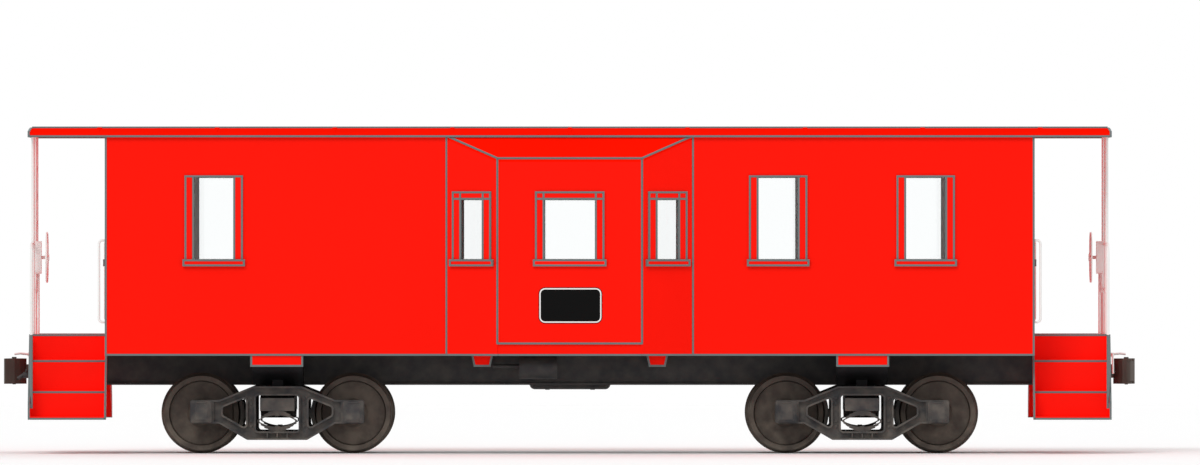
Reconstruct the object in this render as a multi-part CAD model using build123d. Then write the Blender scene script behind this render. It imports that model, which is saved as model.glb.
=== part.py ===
import os
from math import atan2, cos, degrees, hypot, radians, sin

from build123d import *

os.makedirs("parts", exist_ok=True)

# Bay-window caboose, millimetres. X runs along the car, Z is up, zero is under the wheel flanges.
# The near side is -Y. End b is at +X, end a at -X.

# Lengths along the car
BODY_HALF = 5104.0
PLATFORM = 847.0
ROOF_HALF = BODY_HALF + PLATFORM
TRUCK_X = 3223.0
CROSSBEARER_X = 963.0

# Widths, from the middle of the car
BODY_Y = 1400.0
EAVE_Y = BODY_Y + 30
BAY_Y = BODY_Y + 210
WALL = 60.0
INNER_Y = BODY_Y - WALL

# Heights, chained from the floor
Z_FLOOR = 1310.0
FLOOR = 94.0
Z_FLOOR_UNDER = Z_FLOOR - FLOOR
Z_SILL = Z_FLOOR_UNDER - 126
Z_BOLSTER_END = Z_SILL - 121
CABIN_HEIGHT = 2189.0
Z_EAVE = Z_FLOOR + CABIN_HEIGHT
Z_FASCIA = Z_EAVE + 40
Z_ROOF = Z_FASCIA + 70
Z_CROWN = Z_ROOF - 20
Z_CEILING = Z_EAVE + 46

# Bay window: half lengths at the wall and at the face
BAY_FOOT = 1356.0
BAY_FACE = 795.0
Z_BAY_FACE = Z_SILL + 126.5
BAY_DROP = 247.5
Z_BAY_TOP = Z_EAVE - BAY_DROP
BAY_SHEET = 25.0
BAY_SETBACK = 10.0

# Wheels
TREAD_R = 419.0
FLANGE_R = TREAD_R + 26
AXLE_Z = FLANGE_R
WHEEL_BACK_Y = 676.5
WHEEL_FRONT_Y = WHEEL_BACK_Y + 140
JOURNAL_R = 64.0
JOURNAL_PLAY = 0.5

# Trucks
WHEELBASE = 1676.0
FRAME_Y0 = WHEEL_FRONT_Y + 88.5
FRAME_Y1 = FRAME_Y0 + 160
BOX_Y1 = FRAME_Y1 + 60
AXLE_END_Y = BOX_Y1 - 25
Z_CENTRE_PLATE = AXLE_Z + 235
PLATE_GAP = 0.5
KINGPIN_R = 22.0
BEARING_Y = 635.0
Z_BEARING = Z_CENTRE_PLATE + 20

# Underframe
SILL_WEB_Y = 170.0
SILL_FLANGE = 50.0
SILL_PLATE = 20.0
Z_CENTRE_SILL = Z_CENTRE_PLATE + 70
SIDE_SILL = 60.0

# Couplers
COUPLER_Z = 902.0
COUPLER_REACH = 300.0

# Doors
DOOR_OPENING_HALF = 381.0
DOOR_HEAD = 203.0
DOOR_OPENING_TOP = Z_EAVE - DOOR_HEAD
DOOR_GAP = 6.0
DOOR_THICK = 45.0
HINGE_R = 7.0
HINGE_OUT = 7.5

# Railings
TUBE_R = 16.0
POST_R = 20.0


def box(x0, x1, y0, y1, z0, z1):
    """Block between two values on each axis."""
    size = Box(x1 - x0, y1 - y0, z1 - z0, align=(Align.MIN, Align.MIN, Align.MIN))
    return Pos(x0, y0, z0) * size


def slab(face, z0, z1):
    """Outline seen from above (x, y), between two heights."""
    return extrude(Plane.XY.offset(z0) * face, z1 - z0, dir=(0, 0, 1))


def plan(points, z0, z1):
    return slab(Polygon(*points, align=None), z0, z1)


def side(face, y0, y1):
    """Outline seen from the side (x, z), between two values of y."""
    return extrude(Plane.XZ.offset(-y1) * face, y1 - y0, dir=(0, -1, 0))


def end(face, x0, x1):
    """Outline seen from the end (y, z), between two values of x."""
    return extrude(Plane.YZ.offset(x0) * face, x1 - x0, dir=(1, 0, 0))


def poly(*points):
    return Polygon(*points, align=None)


def rounded(radius, *points):
    face = poly(*points)
    return fillet(face.vertices(), radius)


def rod(a, b, radius):
    """Round bar from point a to point b."""
    a = Vector(*a)
    b = Vector(*b)
    length = (b - a).length
    place = Plane(origin=a, z_dir=b - a)
    return place * Cylinder(radius, length, align=(Align.CENTER, Align.CENTER, Align.MIN))


def bent_tube(points, radius, bend):
    path = FilletPolyline(*points, radius=bend)
    return sweep(Plane(origin=path @ 0, z_dir=path % 0) * Circle(radius), path=path)


def far(shape):
    return mirror(shape, about=Plane.XZ)


def end_a(shape):
    return Rot(0, 0, 180) * shape


def all_corners(shape):
    """One piece of a corner repeated at the four corners of the car."""
    both = [shape, far(shape)]
    return both + [end_a(one) for one in both]


def save(node, *shapes):
    solids = [solid for shape in shapes for solid in shape.solids()]
    export_step(Compound(solids), f"parts/{node}.step")


# Windows, built facing -Y with the wall's outer face at y = 0
STILE_PROUD = 12.0
SILL_PROUD = 30.0
SILL_HEIGHT = 55.0
BAY_HEAD = 71.5
GLASS_Y = 26.0
GLASS = 8.0
Z_WINDOW = Z_FLOOR + 819.5
Z_TALL_TOP = Z_FLOOR + 1743.5
Z_LOW_TOP = Z_FLOOR + 1496


def window(clear, stile, head, sill, top):
    """Opening, frame and pane of one window; clear is the opening's width, top its height."""
    half = clear / 2
    foot = Z_WINDOW - SILL_HEIGHT
    opening = box(-half, half, -WALL, 2 * WALL, Z_WINDOW, top)
    frame = box(-half - stile, -half, -STILE_PROUD, 0, Z_WINDOW, top + head)
    frame += box(half, half + stile, -STILE_PROUD, 0, Z_WINDOW, top + head)
    frame += box(-sill / 2, sill / 2, -SILL_PROUD, 0, foot, Z_WINDOW)
    if head:
        frame += box(-half, half, -STILE_PROUD, 0, top, top + head)
    pane = box(-half, half, GLASS_Y, GLASS_Y + GLASS, Z_WINDOW, top)
    return opening, frame, pane


TALL = window(clear=451, stile=85, head=0, sill=665, top=Z_TALL_TOP)
BAY = window(clear=575, stile=83.5, head=BAY_HEAD, sill=787, top=Z_LOW_TOP)
CHEEK = window(clear=265, stile=86.5, head=BAY_HEAD, sill=493, top=Z_LOW_TOP)
END = window(clear=400, stile=60, head=60, sill=560, top=Z_LOW_TOP)

TALL_X = (-3916.0, 2293.0, 3916.0)
END_WINDOW_Y = 860.0

# Roof: a shallow arch between two eaves, with a rib over each sheet joint and a ridge cap
RIB = 8.0
RIB_HALF = 22.0
RIB_PITCH = 1300.0
RIBS_EACH_WAY = 4
RIDGE_HALF = 75.0


def arch(top_edge, top, under_edge, under, half_y):
    """Cross-section between an upper arc and a lower arc."""
    line = Polyline((-INNER_Y, under_edge), (-half_y, under_edge), (-half_y, top_edge))
    line += ThreePointArc((-half_y, top_edge), (0, top), (half_y, top_edge))
    line += Polyline((half_y, top_edge), (half_y, under_edge), (INNER_Y, under_edge))
    line += ThreePointArc((INNER_Y, under_edge), (0, under), (-INNER_Y, under_edge))
    return make_face(line)


roof = end(arch(Z_FASCIA, Z_CROWN, Z_EAVE, Z_CEILING, EAVE_Y), -ROOF_HALF, ROOF_HALF)
rib_face = arch(Z_FASCIA + RIB, Z_CROWN + RIB, Z_EAVE + RIB, Z_CEILING + RIB, EAVE_Y - RIB)
for k in range(-RIBS_EACH_WAY, RIBS_EACH_WAY + 1):
    roof += end(rib_face, k * RIB_PITCH - RIB_HALF, k * RIB_PITCH + RIB_HALF)
save("roof", roof)
ridge_face = rounded(
    6,
    (-RIDGE_HALF, Z_CROWN - 24),
    (RIDGE_HALF, Z_CROWN - 24),
    (RIDGE_HALF, Z_ROOF - 8),
    (RIDGE_HALF - 25, Z_ROOF),
    (25 - RIDGE_HALF, Z_ROOF),
    (-RIDGE_HALF, Z_ROOF - 8),
)
save("roof_ridge_cap", end(ridge_face, -ROOF_HALF, ROOF_HALF) - roof)

# Side walls, in two sections on each side of the bay
near_walls = box(-BODY_HALF, -BAY_FOOT, -BODY_Y, -INNER_Y, Z_SILL, Z_EAVE)
near_walls += box(BAY_FOOT, BODY_HALF, -BODY_Y, -INNER_Y, Z_SILL, Z_EAVE)
near_frames = []
near_panes = []
for x in TALL_X:
    place = Pos(x, -BODY_Y, 0)
    near_walls -= place * TALL[0]
    near_frames.append(place * TALL[1])
    near_panes.append(place * TALL[2])
save("side_walls", near_walls, far(near_walls))

# Bay: two angled cheeks and a face under one sloping sheet
out = BAY_Y - BODY_Y
run = BAY_FOOT - BAY_FACE
slope = BAY_DROP / out
sheet_drop = BAY_SHEET * hypot(1, slope)
cheek_angle = degrees(atan2(out, run))
cheek_length = hypot(run, out)
inset_x = WALL * (cheek_length - run) / out
face_in = BAY_FACE - inset_x
foot_in = BAY_FOOT - inset_x
HEADER = 100.0

bay_roof = end(
    poly(
        (-BODY_Y, Z_EAVE),
        (-BAY_Y, Z_BAY_TOP),
        (-BAY_Y, Z_BAY_TOP - sheet_drop),
        (-BODY_Y, Z_EAVE - sheet_drop),
        (-BODY_Y, Z_EAVE - HEADER),
        (-INNER_Y, Z_EAVE - HEADER),
        (-INNER_Y, Z_EAVE),
    ),
    -BAY_FOOT,
    BAY_FOOT,
)
bay_outline = [
    (-BAY_FOOT, -INNER_Y),
    (-BAY_FOOT, -BODY_Y),
    (-BAY_FACE, -BAY_Y),
    (BAY_FACE, -BAY_Y),
    (BAY_FOOT, -BODY_Y),
    (BAY_FOOT, -INNER_Y),
]
bay_roof &= plan(bay_outline, Z_SILL, Z_ROOF)
above_bay = end(
    poly(
        (-BODY_Y, Z_EAVE),
        (-BAY_Y - out, Z_BAY_TOP - slope * out),
        (-BAY_Y - out, Z_ROOF),
        (-INNER_Y, Z_ROOF),
        (-INNER_Y, Z_EAVE),
    ),
    -BAY_FOOT,
    BAY_FOOT,
)

cheek = plan(
    [
        (BAY_FOOT, -BODY_Y),
        (BAY_FACE, -BAY_Y),
        (face_in, WALL - BAY_Y),
        (foot_in, -INNER_Y),
        (BAY_FOOT, -INNER_Y),
    ],
    Z_SILL,
    Z_EAVE,
)
cheek = cheek - above_bay - bay_roof
cheek_place = Pos((BAY_FOOT + BAY_FACE) / 2, -(BODY_Y + BAY_Y) / 2, 0) * Rot(0, 0, cheek_angle)
cheek -= cheek_place * CHEEK[0]
cheek_frame = cheek_place * CHEEK[1]
cheek_pane = cheek_place * CHEEK[2]

# The face stands proud of the sill below it
set_x = BAY_FACE - inset_x * BAY_SETBACK / WALL
bay_face = plan(
    [
        (-BAY_FACE, -BAY_Y),
        (-face_in, WALL - BAY_Y),
        (face_in, WALL - BAY_Y),
        (BAY_FACE, -BAY_Y),
    ],
    Z_BAY_FACE,
    Z_EAVE,
)
bay_face += plan(
    [
        (-set_x, BAY_SETBACK - BAY_Y),
        (-face_in, WALL - BAY_Y),
        (face_in, WALL - BAY_Y),
        (set_x, BAY_SETBACK - BAY_Y),
    ],
    Z_SILL,
    Z_BAY_FACE,
)
bay_face = bay_face - above_bay - bay_roof - Pos(0, -BAY_Y, 0) * BAY[0]
bay_floor = plan(
    [
        (-foot_in, -INNER_Y),
        (-face_in, WALL - BAY_Y),
        (face_in, WALL - BAY_Y),
        (foot_in, -INNER_Y),
    ],
    Z_FLOOR_UNDER,
    Z_FLOOR,
)
save("bay_roofs", bay_roof, far(bay_roof))
save("bay_cheeks", *all_corners(cheek))
save("bay_faces", bay_face, far(bay_face))
save("bay_floors", bay_floor, far(bay_floor))

# End walls with a doorway between two windows
wall_line = Polyline(
    (INNER_Y, Z_EAVE),
    (INNER_Y, Z_FLOOR_UNDER),
    (-INNER_Y, Z_FLOOR_UNDER),
    (-INNER_Y, Z_EAVE),
)
wall_line += ThreePointArc((-INNER_Y, Z_EAVE), (0, Z_CEILING), (INNER_Y, Z_EAVE))
end_wall = end(make_face(wall_line), BODY_HALF - WALL, BODY_HALF)
doorway = box(
    BODY_HALF - 2 * WALL,
    BODY_HALF + WALL,
    -DOOR_OPENING_HALF,
    DOOR_OPENING_HALF,
    Z_FLOOR,
    DOOR_OPENING_TOP,
)
end_wall -= doorway
end_place = Pos(BODY_HALF, END_WINDOW_Y, 0) * Rot(0, 0, 90)
end_frame = end_place * END[1]
end_pane = end_place * END[2]
end_wall = end_wall - end_place * END[0] - far(end_place * END[0])
save("end_walls", end_wall, end_a(end_wall))

bay_frame = Pos(0, -BAY_Y, 0) * BAY[1]
bay_pane = Pos(0, -BAY_Y, 0) * BAY[2]
near_frames.append(bay_frame)
near_panes.append(bay_pane)
frames = near_frames + [far(one) for one in near_frames]
panes = near_panes + [far(one) for one in near_panes]
save("window_frames", *frames, *all_corners(cheek_frame), *all_corners(end_frame))
save("window_glass", *panes, *all_corners(cheek_pane), *all_corners(end_pane))

# Door frame around the doorway, on the outer face of the wall
DOOR_TRIM = 60.0
door_frame = box(
    BODY_HALF,
    BODY_HALF + STILE_PROUD,
    -DOOR_OPENING_HALF - DOOR_TRIM,
    DOOR_OPENING_HALF + DOOR_TRIM,
    Z_FLOOR,
    DOOR_OPENING_TOP + DOOR_TRIM,
)
door_frame -= doorway
save("door_frames", door_frame, end_a(door_frame))

# End doors, hung on three barrels at the inner face of the wall, opening inward
door_x0 = BODY_HALF - WALL
door_x1 = door_x0 + DOOR_THICK
hinge_x = door_x0 - HINGE_OUT
door_half = DOOR_OPENING_HALF - DOOR_GAP
DOOR_GLASS_HALF = 210.0
DOOR_PANEL_HALF = 250.0
DOOR_PANEL_DEPTH = 12.0
DOOR_BOTTOM_RAIL = 170.0
DOOR_PANEL = 640.0
DOOR_LOCK_RAIL = 130.0
DOOR_TOP_RAIL = 296.0
z_panel = Z_FLOOR + DOOR_BOTTOM_RAIL
z_lock_rail = z_panel + DOOR_PANEL
door_panel_z = (z_panel, z_lock_rail)
door_glass_z = (z_lock_rail + DOOR_LOCK_RAIL, DOOR_OPENING_TOP - DOOR_TOP_RAIL)
HINGE_INSET = 240.0
HINGE_HALF = 50.0
HINGE_LEAF = 46.0
low_hinge = Z_FLOOR + HINGE_INSET
high_hinge = DOOR_OPENING_TOP - HINGE_INSET
leaf = box(
    door_x0,
    door_x1,
    -door_half,
    door_half,
    Z_FLOOR + DOOR_GAP,
    DOOR_OPENING_TOP - DOOR_GAP,
)
leaf -= box(door_x0 - WALL, BODY_HALF, -DOOR_GLASS_HALF, DOOR_GLASS_HALF, *door_glass_z)
leaf -= box(
    door_x1 - DOOR_PANEL_DEPTH,
    BODY_HALF,
    -DOOR_PANEL_HALF,
    DOOR_PANEL_HALF,
    *door_panel_z,
)
for z in (low_hinge, (low_hinge + high_hinge) / 2, high_hinge):
    z0 = z - HINGE_HALF
    z1 = z + HINGE_HALF
    leaf += Pos(hinge_x, DOOR_OPENING_HALF, z) * Cylinder(HINGE_R, 2 * HINGE_HALF + 10)
    leaf += box(hinge_x, door_x0, DOOR_OPENING_HALF - HINGE_LEAF, door_half, z0, z1)
    leaf += box(hinge_x - 3, hinge_x + 3, door_half - 4, DOOR_OPENING_HALF, z0, z1)
door_glass_x = door_x0 + 18
door_pane = box(
    door_glass_x,
    door_glass_x + GLASS,
    -DOOR_GLASS_HALF,
    DOOR_GLASS_HALF,
    *door_glass_z,
)
save("door_leaf_b", leaf)
save("door_glass_b", door_pane)
save("door_leaf_a", end_a(leaf))
save("door_glass_a", end_a(door_pane))

# Underframe: centre sill, an inverted channel with flanged feet
sill_in = SILL_WEB_Y - SILL_PLATE
sill_out = SILL_WEB_Y + SILL_FLANGE
sill_half = ROOF_HALF - 60
z_foot = Z_CENTRE_SILL + SILL_PLATE
centre_sill = end(
    poly(
        (-sill_out, Z_CENTRE_SILL),
        (-sill_in, Z_CENTRE_SILL),
        (-sill_in, Z_FLOOR_UNDER - SILL_PLATE),
        (sill_in, Z_FLOOR_UNDER - SILL_PLATE),
        (sill_in, Z_CENTRE_SILL),
        (sill_out, Z_CENTRE_SILL),
        (sill_out, z_foot),
        (SILL_WEB_Y, z_foot),
        (SILL_WEB_Y, Z_FLOOR_UNDER),
        (-SILL_WEB_Y, Z_FLOOR_UNDER),
        (-SILL_WEB_Y, z_foot),
        (-sill_out, z_foot),
    ),
    -sill_half,
    sill_half,
)
save("centre_sill", centre_sill)

# Body bolsters: tapered wings that end in flat jacking pads, and a centre plate with its kingpin
side_sill_y0 = INNER_Y - SIDE_SILL
bolster_y1 = BODY_Y - 10
BOLSTER_HALF = 280.5
BOLSTER_FLAT_Y = 470.0
JACK_PAD = 150.0
BEARING_HALF = 45.0
BEARING_GAP = 8.0
PLATE_R = 150.0
FILLER_HALF = 200.0
FILLER = 60.0
KINGPIN = 110.0
upright = (Align.CENTER, Align.CENTER, Align.MIN)
bolster_wing = end(
    poly(
        (SILL_WEB_Y, z_foot),
        (sill_out, z_foot),
        (sill_out, Z_CENTRE_SILL),
        (BOLSTER_FLAT_Y, Z_CENTRE_SILL),
        (bolster_y1 - JACK_PAD, Z_BOLSTER_END),
        (bolster_y1, Z_BOLSTER_END),
        (bolster_y1, Z_SILL),
        (side_sill_y0, Z_SILL),
        (side_sill_y0, Z_FLOOR_UNDER),
        (SILL_WEB_Y, Z_FLOOR_UNDER),
    ),
    -BOLSTER_HALF,
    BOLSTER_HALF,
)
bearing_y = (BEARING_Y - BEARING_HALF, BEARING_Y + BEARING_HALF)
bolster_wing += box(-60, 60, *bearing_y, Z_BEARING + BEARING_GAP, Z_SILL)
hub = box(-FILLER_HALF, FILLER_HALF, -sill_in, sill_in, Z_CENTRE_SILL, Z_CENTRE_SILL + FILLER)
hub += Pos(0, 0, Z_CENTRE_PLATE) * Cylinder(
    PLATE_R, Z_CENTRE_SILL - Z_CENTRE_PLATE, align=upright
)
hub += Pos(0, 0, Z_CENTRE_PLATE - KINGPIN) * Cylinder(KINGPIN_R, KINGPIN, align=upright)
bolsters = []
for x in (-TRUCK_X, TRUCK_X):
    for one in (bolster_wing, far(bolster_wing), hub):
        bolsters.append(Pos(x, 0, 0) * one)
save("body_bolsters", *bolsters)

BEARER_TOP_HALF = 110.0
BEARER_FOOT_HALF = 82.5
bearer = side(
    poly(
        (-BEARER_TOP_HALF, Z_SILL),
        (-BEARER_FOOT_HALF, Z_BOLSTER_END),
        (BEARER_FOOT_HALF, Z_BOLSTER_END),
        (BEARER_TOP_HALF, Z_SILL),
    ),
    SILL_WEB_Y,
    bolster_y1,
)
cross_y = (SILL_WEB_Y, side_sill_y0)
sill_z = (Z_SILL, Z_FLOOR_UNDER)
bearer += box(-BEARER_FOOT_HALF, BEARER_FOOT_HALF, *cross_y, *sill_z)
save("crossbearers", *all_corners(Pos(CROSSBEARER_X, 0, 0) * bearer))

JOIST_HALF = 30.0
JOIST_X = (1900.0, 4300.0)
joist = box(-JOIST_HALF, JOIST_HALF, *cross_y, *sill_z)
joists = [joist, far(joist)]
for x in JOIST_X:
    joists += all_corners(Pos(x, 0, 0) * joist)
joists += all_corners(box(BODY_HALF - WALL, BODY_HALF, *cross_y, *sill_z))
save("floor_joists", *joists)

side_sill = box(-BODY_HALF, BODY_HALF, -INNER_Y, -side_sill_y0, *sill_z)
bay_skirt = box(-foot_in, foot_in, -INNER_Y - SILL_PLATE, -INNER_Y, *sill_z)
bay_skirt = bay_skirt - cheek - mirror(cheek, about=Plane.YZ)
save("side_sills", side_sill + bay_skirt, far(side_sill + bay_skirt))

floor_half = BODY_HALF - WALL
save("cabin_floor", box(-floor_half, floor_half, -INNER_Y, INNER_Y, Z_FLOOR_UNDER, Z_FLOOR))

# End platforms: a tray deck on the sill, with a beam and a striker at the outer end
STAIR_Y = 720.0
DECK = 12.0
DECK_RIM = 40.0
STRIKER_Y = 200.0
SHANK_Y = 65.0
SHANK_Z = 75.0
SHANK_SWING = 45.0
SHANK_ROOM = 10.0
Z_STRIKER = COUPLER_Z + SHANK_Z + 23
deck = box(BODY_HALF, ROOF_HALF, -STAIR_Y, STAIR_Y, Z_FLOOR_UNDER, Z_FLOOR)
deck -= box(
    BODY_HALF + DECK_RIM,
    ROOF_HALF - DECK_RIM,
    DECK_RIM - STAIR_Y,
    STAIR_Y - DECK_RIM,
    Z_SILL,
    Z_FLOOR - DECK,
)
end_beam = box(sill_half, ROOF_HALF, -STAIR_Y, STAIR_Y, Z_STRIKER, Z_FLOOR_UNDER)
striker = box(sill_half, ROOF_HALF, -STRIKER_Y, STRIKER_Y, Z_CENTRE_SILL, Z_STRIKER)
striker -= box(
    BODY_HALF,
    ROOF_HALF + 1,
    -SHANK_Y - SHANK_SWING,
    SHANK_Y + SHANK_SWING,
    COUPLER_Z - SHANK_Z,
    COUPLER_Z + SHANK_Z + SHANK_ROOM,
)
platform = deck + end_beam + striker
save("platforms", platform, end_a(platform))

# Boarding steps: two side plates with three treads and closed risers between them
STEP_PLATE = 12.0
TREAD = 25.0
Z_STEP = Z_FLOOR - 924
# depth of each tread's top under the deck, from the lowest up
TREAD_DROPS = (899.0, 620.0, 279.0)
tread_run = (BODY_Y - STAIR_Y) / len(TREAD_DROPS)
string = poly(
    (BODY_Y, Z_STEP),
    (BODY_Y, Z_STEP + 174),
    (STAIR_Y + 130, Z_FLOOR),
    (STAIR_Y, Z_FLOOR),
    (STAIR_Y, Z_FLOOR - 325),
    (BODY_Y - tread_run - STEP_PLATE, Z_STEP),
)
inner_plate = end(string, BODY_HALF, BODY_HALF + STEP_PLATE)
outer_plate = end(string, ROOF_HALF - STEP_PLATE, ROOF_HALF)
save("step_plates", *all_corners(inner_plate), *all_corners(outer_plate))
tread_x = (BODY_HALF + STEP_PLATE, ROOF_HALF - STEP_PLATE)
tread_tops = [Z_FLOOR - drop for drop in TREAD_DROPS]
riser_tops = [top - TREAD for top in tread_tops[1:]] + [Z_FLOOR]
treads = []
for k, (top, riser_top) in enumerate(zip(tread_tops, riser_tops)):
    y_out = BODY_Y - k * tread_run
    y_in = y_out - tread_run
    treads.append(box(*tread_x, y_in, y_out, top - TREAD, top))
    treads.append(box(*tread_x, y_in, y_in + STEP_PLATE, top - TREAD, riser_top))
flight = treads[0]
for one in treads[1:]:
    flight += one
save("step_treads", *all_corners(flight))

# End railing: posts and a ladder stile up to the roof, rails, rungs and curved corner rails
RAIL_X = ROOF_HALF - 28
Z_RAIL = Z_FLOOR + 1000
Z_MIDRAIL = Z_FLOOR + 500
POST_Y = 695.0
LADDER_Y = -300.0
RUNG_R = 10.0
# heights above the deck
RUNGS = (170.0, 750.0, 1250.0, 1550.0, 1850.0)
CORNER_Y = BODY_Y - 60
CORNER_BEND = 160.0
z_corner = Z_STEP + 114

posts = []
for y, radius in ((-POST_Y, POST_R), (POST_Y, POST_R), (LADDER_Y, TUBE_R)):
    posts.append(rod((RAIL_X, y, Z_FLOOR), (RAIL_X, y, Z_CEILING), radius) - roof)
rails = []
for z in (Z_MIDRAIL, Z_RAIL):
    rails.append(rod((RAIL_X, -POST_Y, z), (RAIL_X, POST_Y, z), TUBE_R))
for height in RUNGS:
    z = Z_FLOOR + height
    rails.append(rod((RAIL_X, -POST_Y, z), (RAIL_X, LADDER_Y, z), RUNG_R))
rails = [rail - posts[0] - posts[1] - posts[2] for rail in rails]
curve = bent_tube(
    [
        (RAIL_X, -CORNER_Y, z_corner),
        (RAIL_X, -CORNER_Y, Z_RAIL),
        (RAIL_X, -POST_Y, Z_RAIL),
    ],
    TUBE_R,
    CORNER_BEND,
)
clip_x = (RAIL_X, ROOF_HALF - STEP_PLATE)
curve += box(*clip_x, -CORNER_Y - 20, -CORNER_Y + 20, z_corner, z_corner + 60)
curve -= posts[0]
save("railing_posts", *posts, *[end_a(one) for one in posts])
save("railing_rails", *rails, *[end_a(one) for one in rails])
save("corner_rails", *all_corners(curve))

GRAB_R = 13.0
GRAB_OUT = 75.0
grab_y = BODY_Y - WALL / 2
grab_z = (Z_FLOOR + 140, Z_FLOOR + 1040)
grab = bent_tube(
    [
        (BODY_HALF, grab_y, grab_z[0]),
        (BODY_HALF + GRAB_OUT, grab_y, grab_z[0]),
        (BODY_HALF + GRAB_OUT, grab_y, grab_z[1]),
        (BODY_HALF, grab_y, grab_z[1]),
    ],
    GRAB_R,
    3 * GRAB_R,
)
save("corner_grabs", *all_corners(grab))

# Hand brake: gear housing on the railing, wheel on the platform side, rod down to the deck
BRAKE_Y = 430.0
BRAKE_Z = Z_FLOOR + 850
BRAKE_WHEEL_R = 270.0
BRAKE_RIM_R = 12.0
BRAKE_SPOKES = 5
BRAKE_OUT = 130.0
HOUSING_Y = 110.0
HOUSING_Z = 180.0
HOUSING = 70.0
brake_x = RAIL_X - TUBE_R
housing = box(
    brake_x - HOUSING,
    brake_x,
    BRAKE_Y - HOUSING_Y,
    BRAKE_Y + HOUSING_Y,
    BRAKE_Z - HOUSING_Z,
    BRAKE_Z + HOUSING_Z,
)
housing = fillet(housing.edges().filter_by(Axis.X), 50)
housing -= rod((RAIL_X, -POST_Y, Z_RAIL), (RAIL_X, POST_Y, Z_RAIL), TUBE_R)
stand_x = brake_x - HOUSING / 2
brake_rod = rod((stand_x, BRAKE_Y, Z_FLOOR), (stand_x, BRAKE_Y, BRAKE_Z), 12)
strap = box(RAIL_X - 25, brake_x, BRAKE_Y - 60, BRAKE_Y + 60, Z_MIDRAIL - 40, BRAKE_Z)
shaft_x = brake_x - BRAKE_OUT
brake_shaft = rod((shaft_x, BRAKE_Y, BRAKE_Z), (brake_x - HOUSING, BRAKE_Y, BRAKE_Z), 18)
stand = housing + brake_rod + strap + brake_shaft
rim = Pos(shaft_x, BRAKE_Y, BRAKE_Z) * Rot(0, 90, 0) * Torus(BRAKE_WHEEL_R, BRAKE_RIM_R)
brake_wheel = rim + rod((shaft_x - 25, BRAKE_Y, BRAKE_Z), (shaft_x, BRAKE_Y, BRAKE_Z), 40)
for k in range(BRAKE_SPOKES):
    angle = radians(360 / BRAKE_SPOKES * k + 90)
    reach = BRAKE_WHEEL_R - 2
    tip = (shaft_x, BRAKE_Y + reach * cos(angle), BRAKE_Z + reach * sin(angle))
    brake_wheel += rod((shaft_x - 12, BRAKE_Y, BRAKE_Z), tip, 9)
brake_wheel -= brake_shaft
save("hand_brake_stands", stand, end_a(stand))
save("hand_brake_wheels", brake_wheel, end_a(brake_wheel))

# Couplers, drawn from above about the middle of the pulling face
PIVOT = (-96.0, -128.0)
NOSE = (-30.0, -14.0)
HUB_R = 52.0
NOSE_R = 28.0
EAR_R = 60.0
HEAD_HALF = 140.0
EAR = 25.0
KNUCKLE_GAP = 5.0
PIN_R = 18.0
PIN_PLAY = 0.5
SHANK_REACH = 800.0
hub_circle = Pos(*PIVOT) * Circle(HUB_R)
nose_circle = Pos(*NOSE) * Circle(NOSE_R)
arm = make_hull(ShapeList(hub_circle.edges() + nose_circle.edges()))
throat = Pos(-92, -36) * Circle(34)
knuckle_half = HEAD_HALF - EAR - KNUCKLE_GAP
knuckle = slab(arm - throat, -knuckle_half, knuckle_half)
knuckle += slab(nose_circle, -HEAD_HALF, HEAD_HALF)
knuckle -= Pos(*PIVOT) * Cylinder(PIN_R + PIN_PLAY, 3 * HEAD_HALF)

head_face = rounded(
    7,
    (-235, SHANK_Y),
    (-215, 95),
    (-170, 150),
    (-110, 192),
    (-10, 208),
    (8, 194),
    (4, 180),
    (-62, 128),
    (-112, 78),
    (-112, -70),
    (-80, -186),
    (-140, -184),
    (-180, -150),
    (-215, -95),
    (-235, -SHANK_Y),
)
head_face += Pos(*PIVOT) * Circle(EAR_R)
head = slab(head_face, -HEAD_HALF, HEAD_HALF)
pocket = offset(arm, KNUCKLE_GAP) + poly((PIVOT[0], -200), (20, -200), (20, 0), (PIVOT[0], 0))
head -= slab(pocket, EAR - HEAD_HALF, HEAD_HALF - EAR)
pin = Pos(*PIVOT) * Cylinder(PIN_R, 2 * HEAD_HALF + 16)
pin += Pos(*PIVOT, HEAD_HALF + 8) * Cylinder(PIN_R + 8, 16)
shank = box(-SHANK_REACH, -225, -SHANK_Y, SHANK_Y, -SHANK_Z, SHANK_Z)
coupler_place = Pos(ROOF_HALF + COUPLER_REACH, 0, COUPLER_Z)
coupler = coupler_place * (shank + head + pin)
knuckle = coupler_place * knuckle
save("couplers", coupler, end_a(coupler))
save("knuckle_b", knuckle)
save("knuckle_a", end_a(knuckle))

# Air brake gear under the floor: a reservoir on straps and a brake cylinder on its bracket
TANK_R = 190.0
TANK_LENGTH = 900.0
TANK_Y = 620.0
STRAP_X = 250.0
STRAP_HALF = 25.0
STRAP = 6.0
HANGER_Y = 165.0
HANGER = 15.0
CYLINDER_R = 140.0
CYLINDER_LENGTH = 420.0
CYLINDER_X = -350.0
CYLINDER_Y = -600.0
PUSH_ROD_R = 22.0
PUSH_ROD_END = -850.0
tank_z = Z_FLOOR_UNDER - 331
tank = Pos(0, TANK_Y, tank_z) * Rot(0, 90, 0) * Cylinder(TANK_R, TANK_LENGTH)
tank = fillet(tank.edges().filter_by(GeomType.CIRCLE), 60)
for x in (-STRAP_X, STRAP_X):
    tank += Pos(x, TANK_Y, tank_z) * Rot(0, 90, 0) * Cylinder(TANK_R + STRAP, 2 * STRAP_HALF)
    for y in (TANK_Y - HANGER_Y, TANK_Y + HANGER_Y):
        hanger_y = (y - HANGER, y + HANGER)
        tank += box(x - STRAP_HALF, x + STRAP_HALF, *hanger_y, tank_z, Z_FLOOR_UNDER)
cylinder_z = Z_FLOOR_UNDER - 256
cylinder_end = CYLINDER_X - CYLINDER_LENGTH / 2
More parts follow.
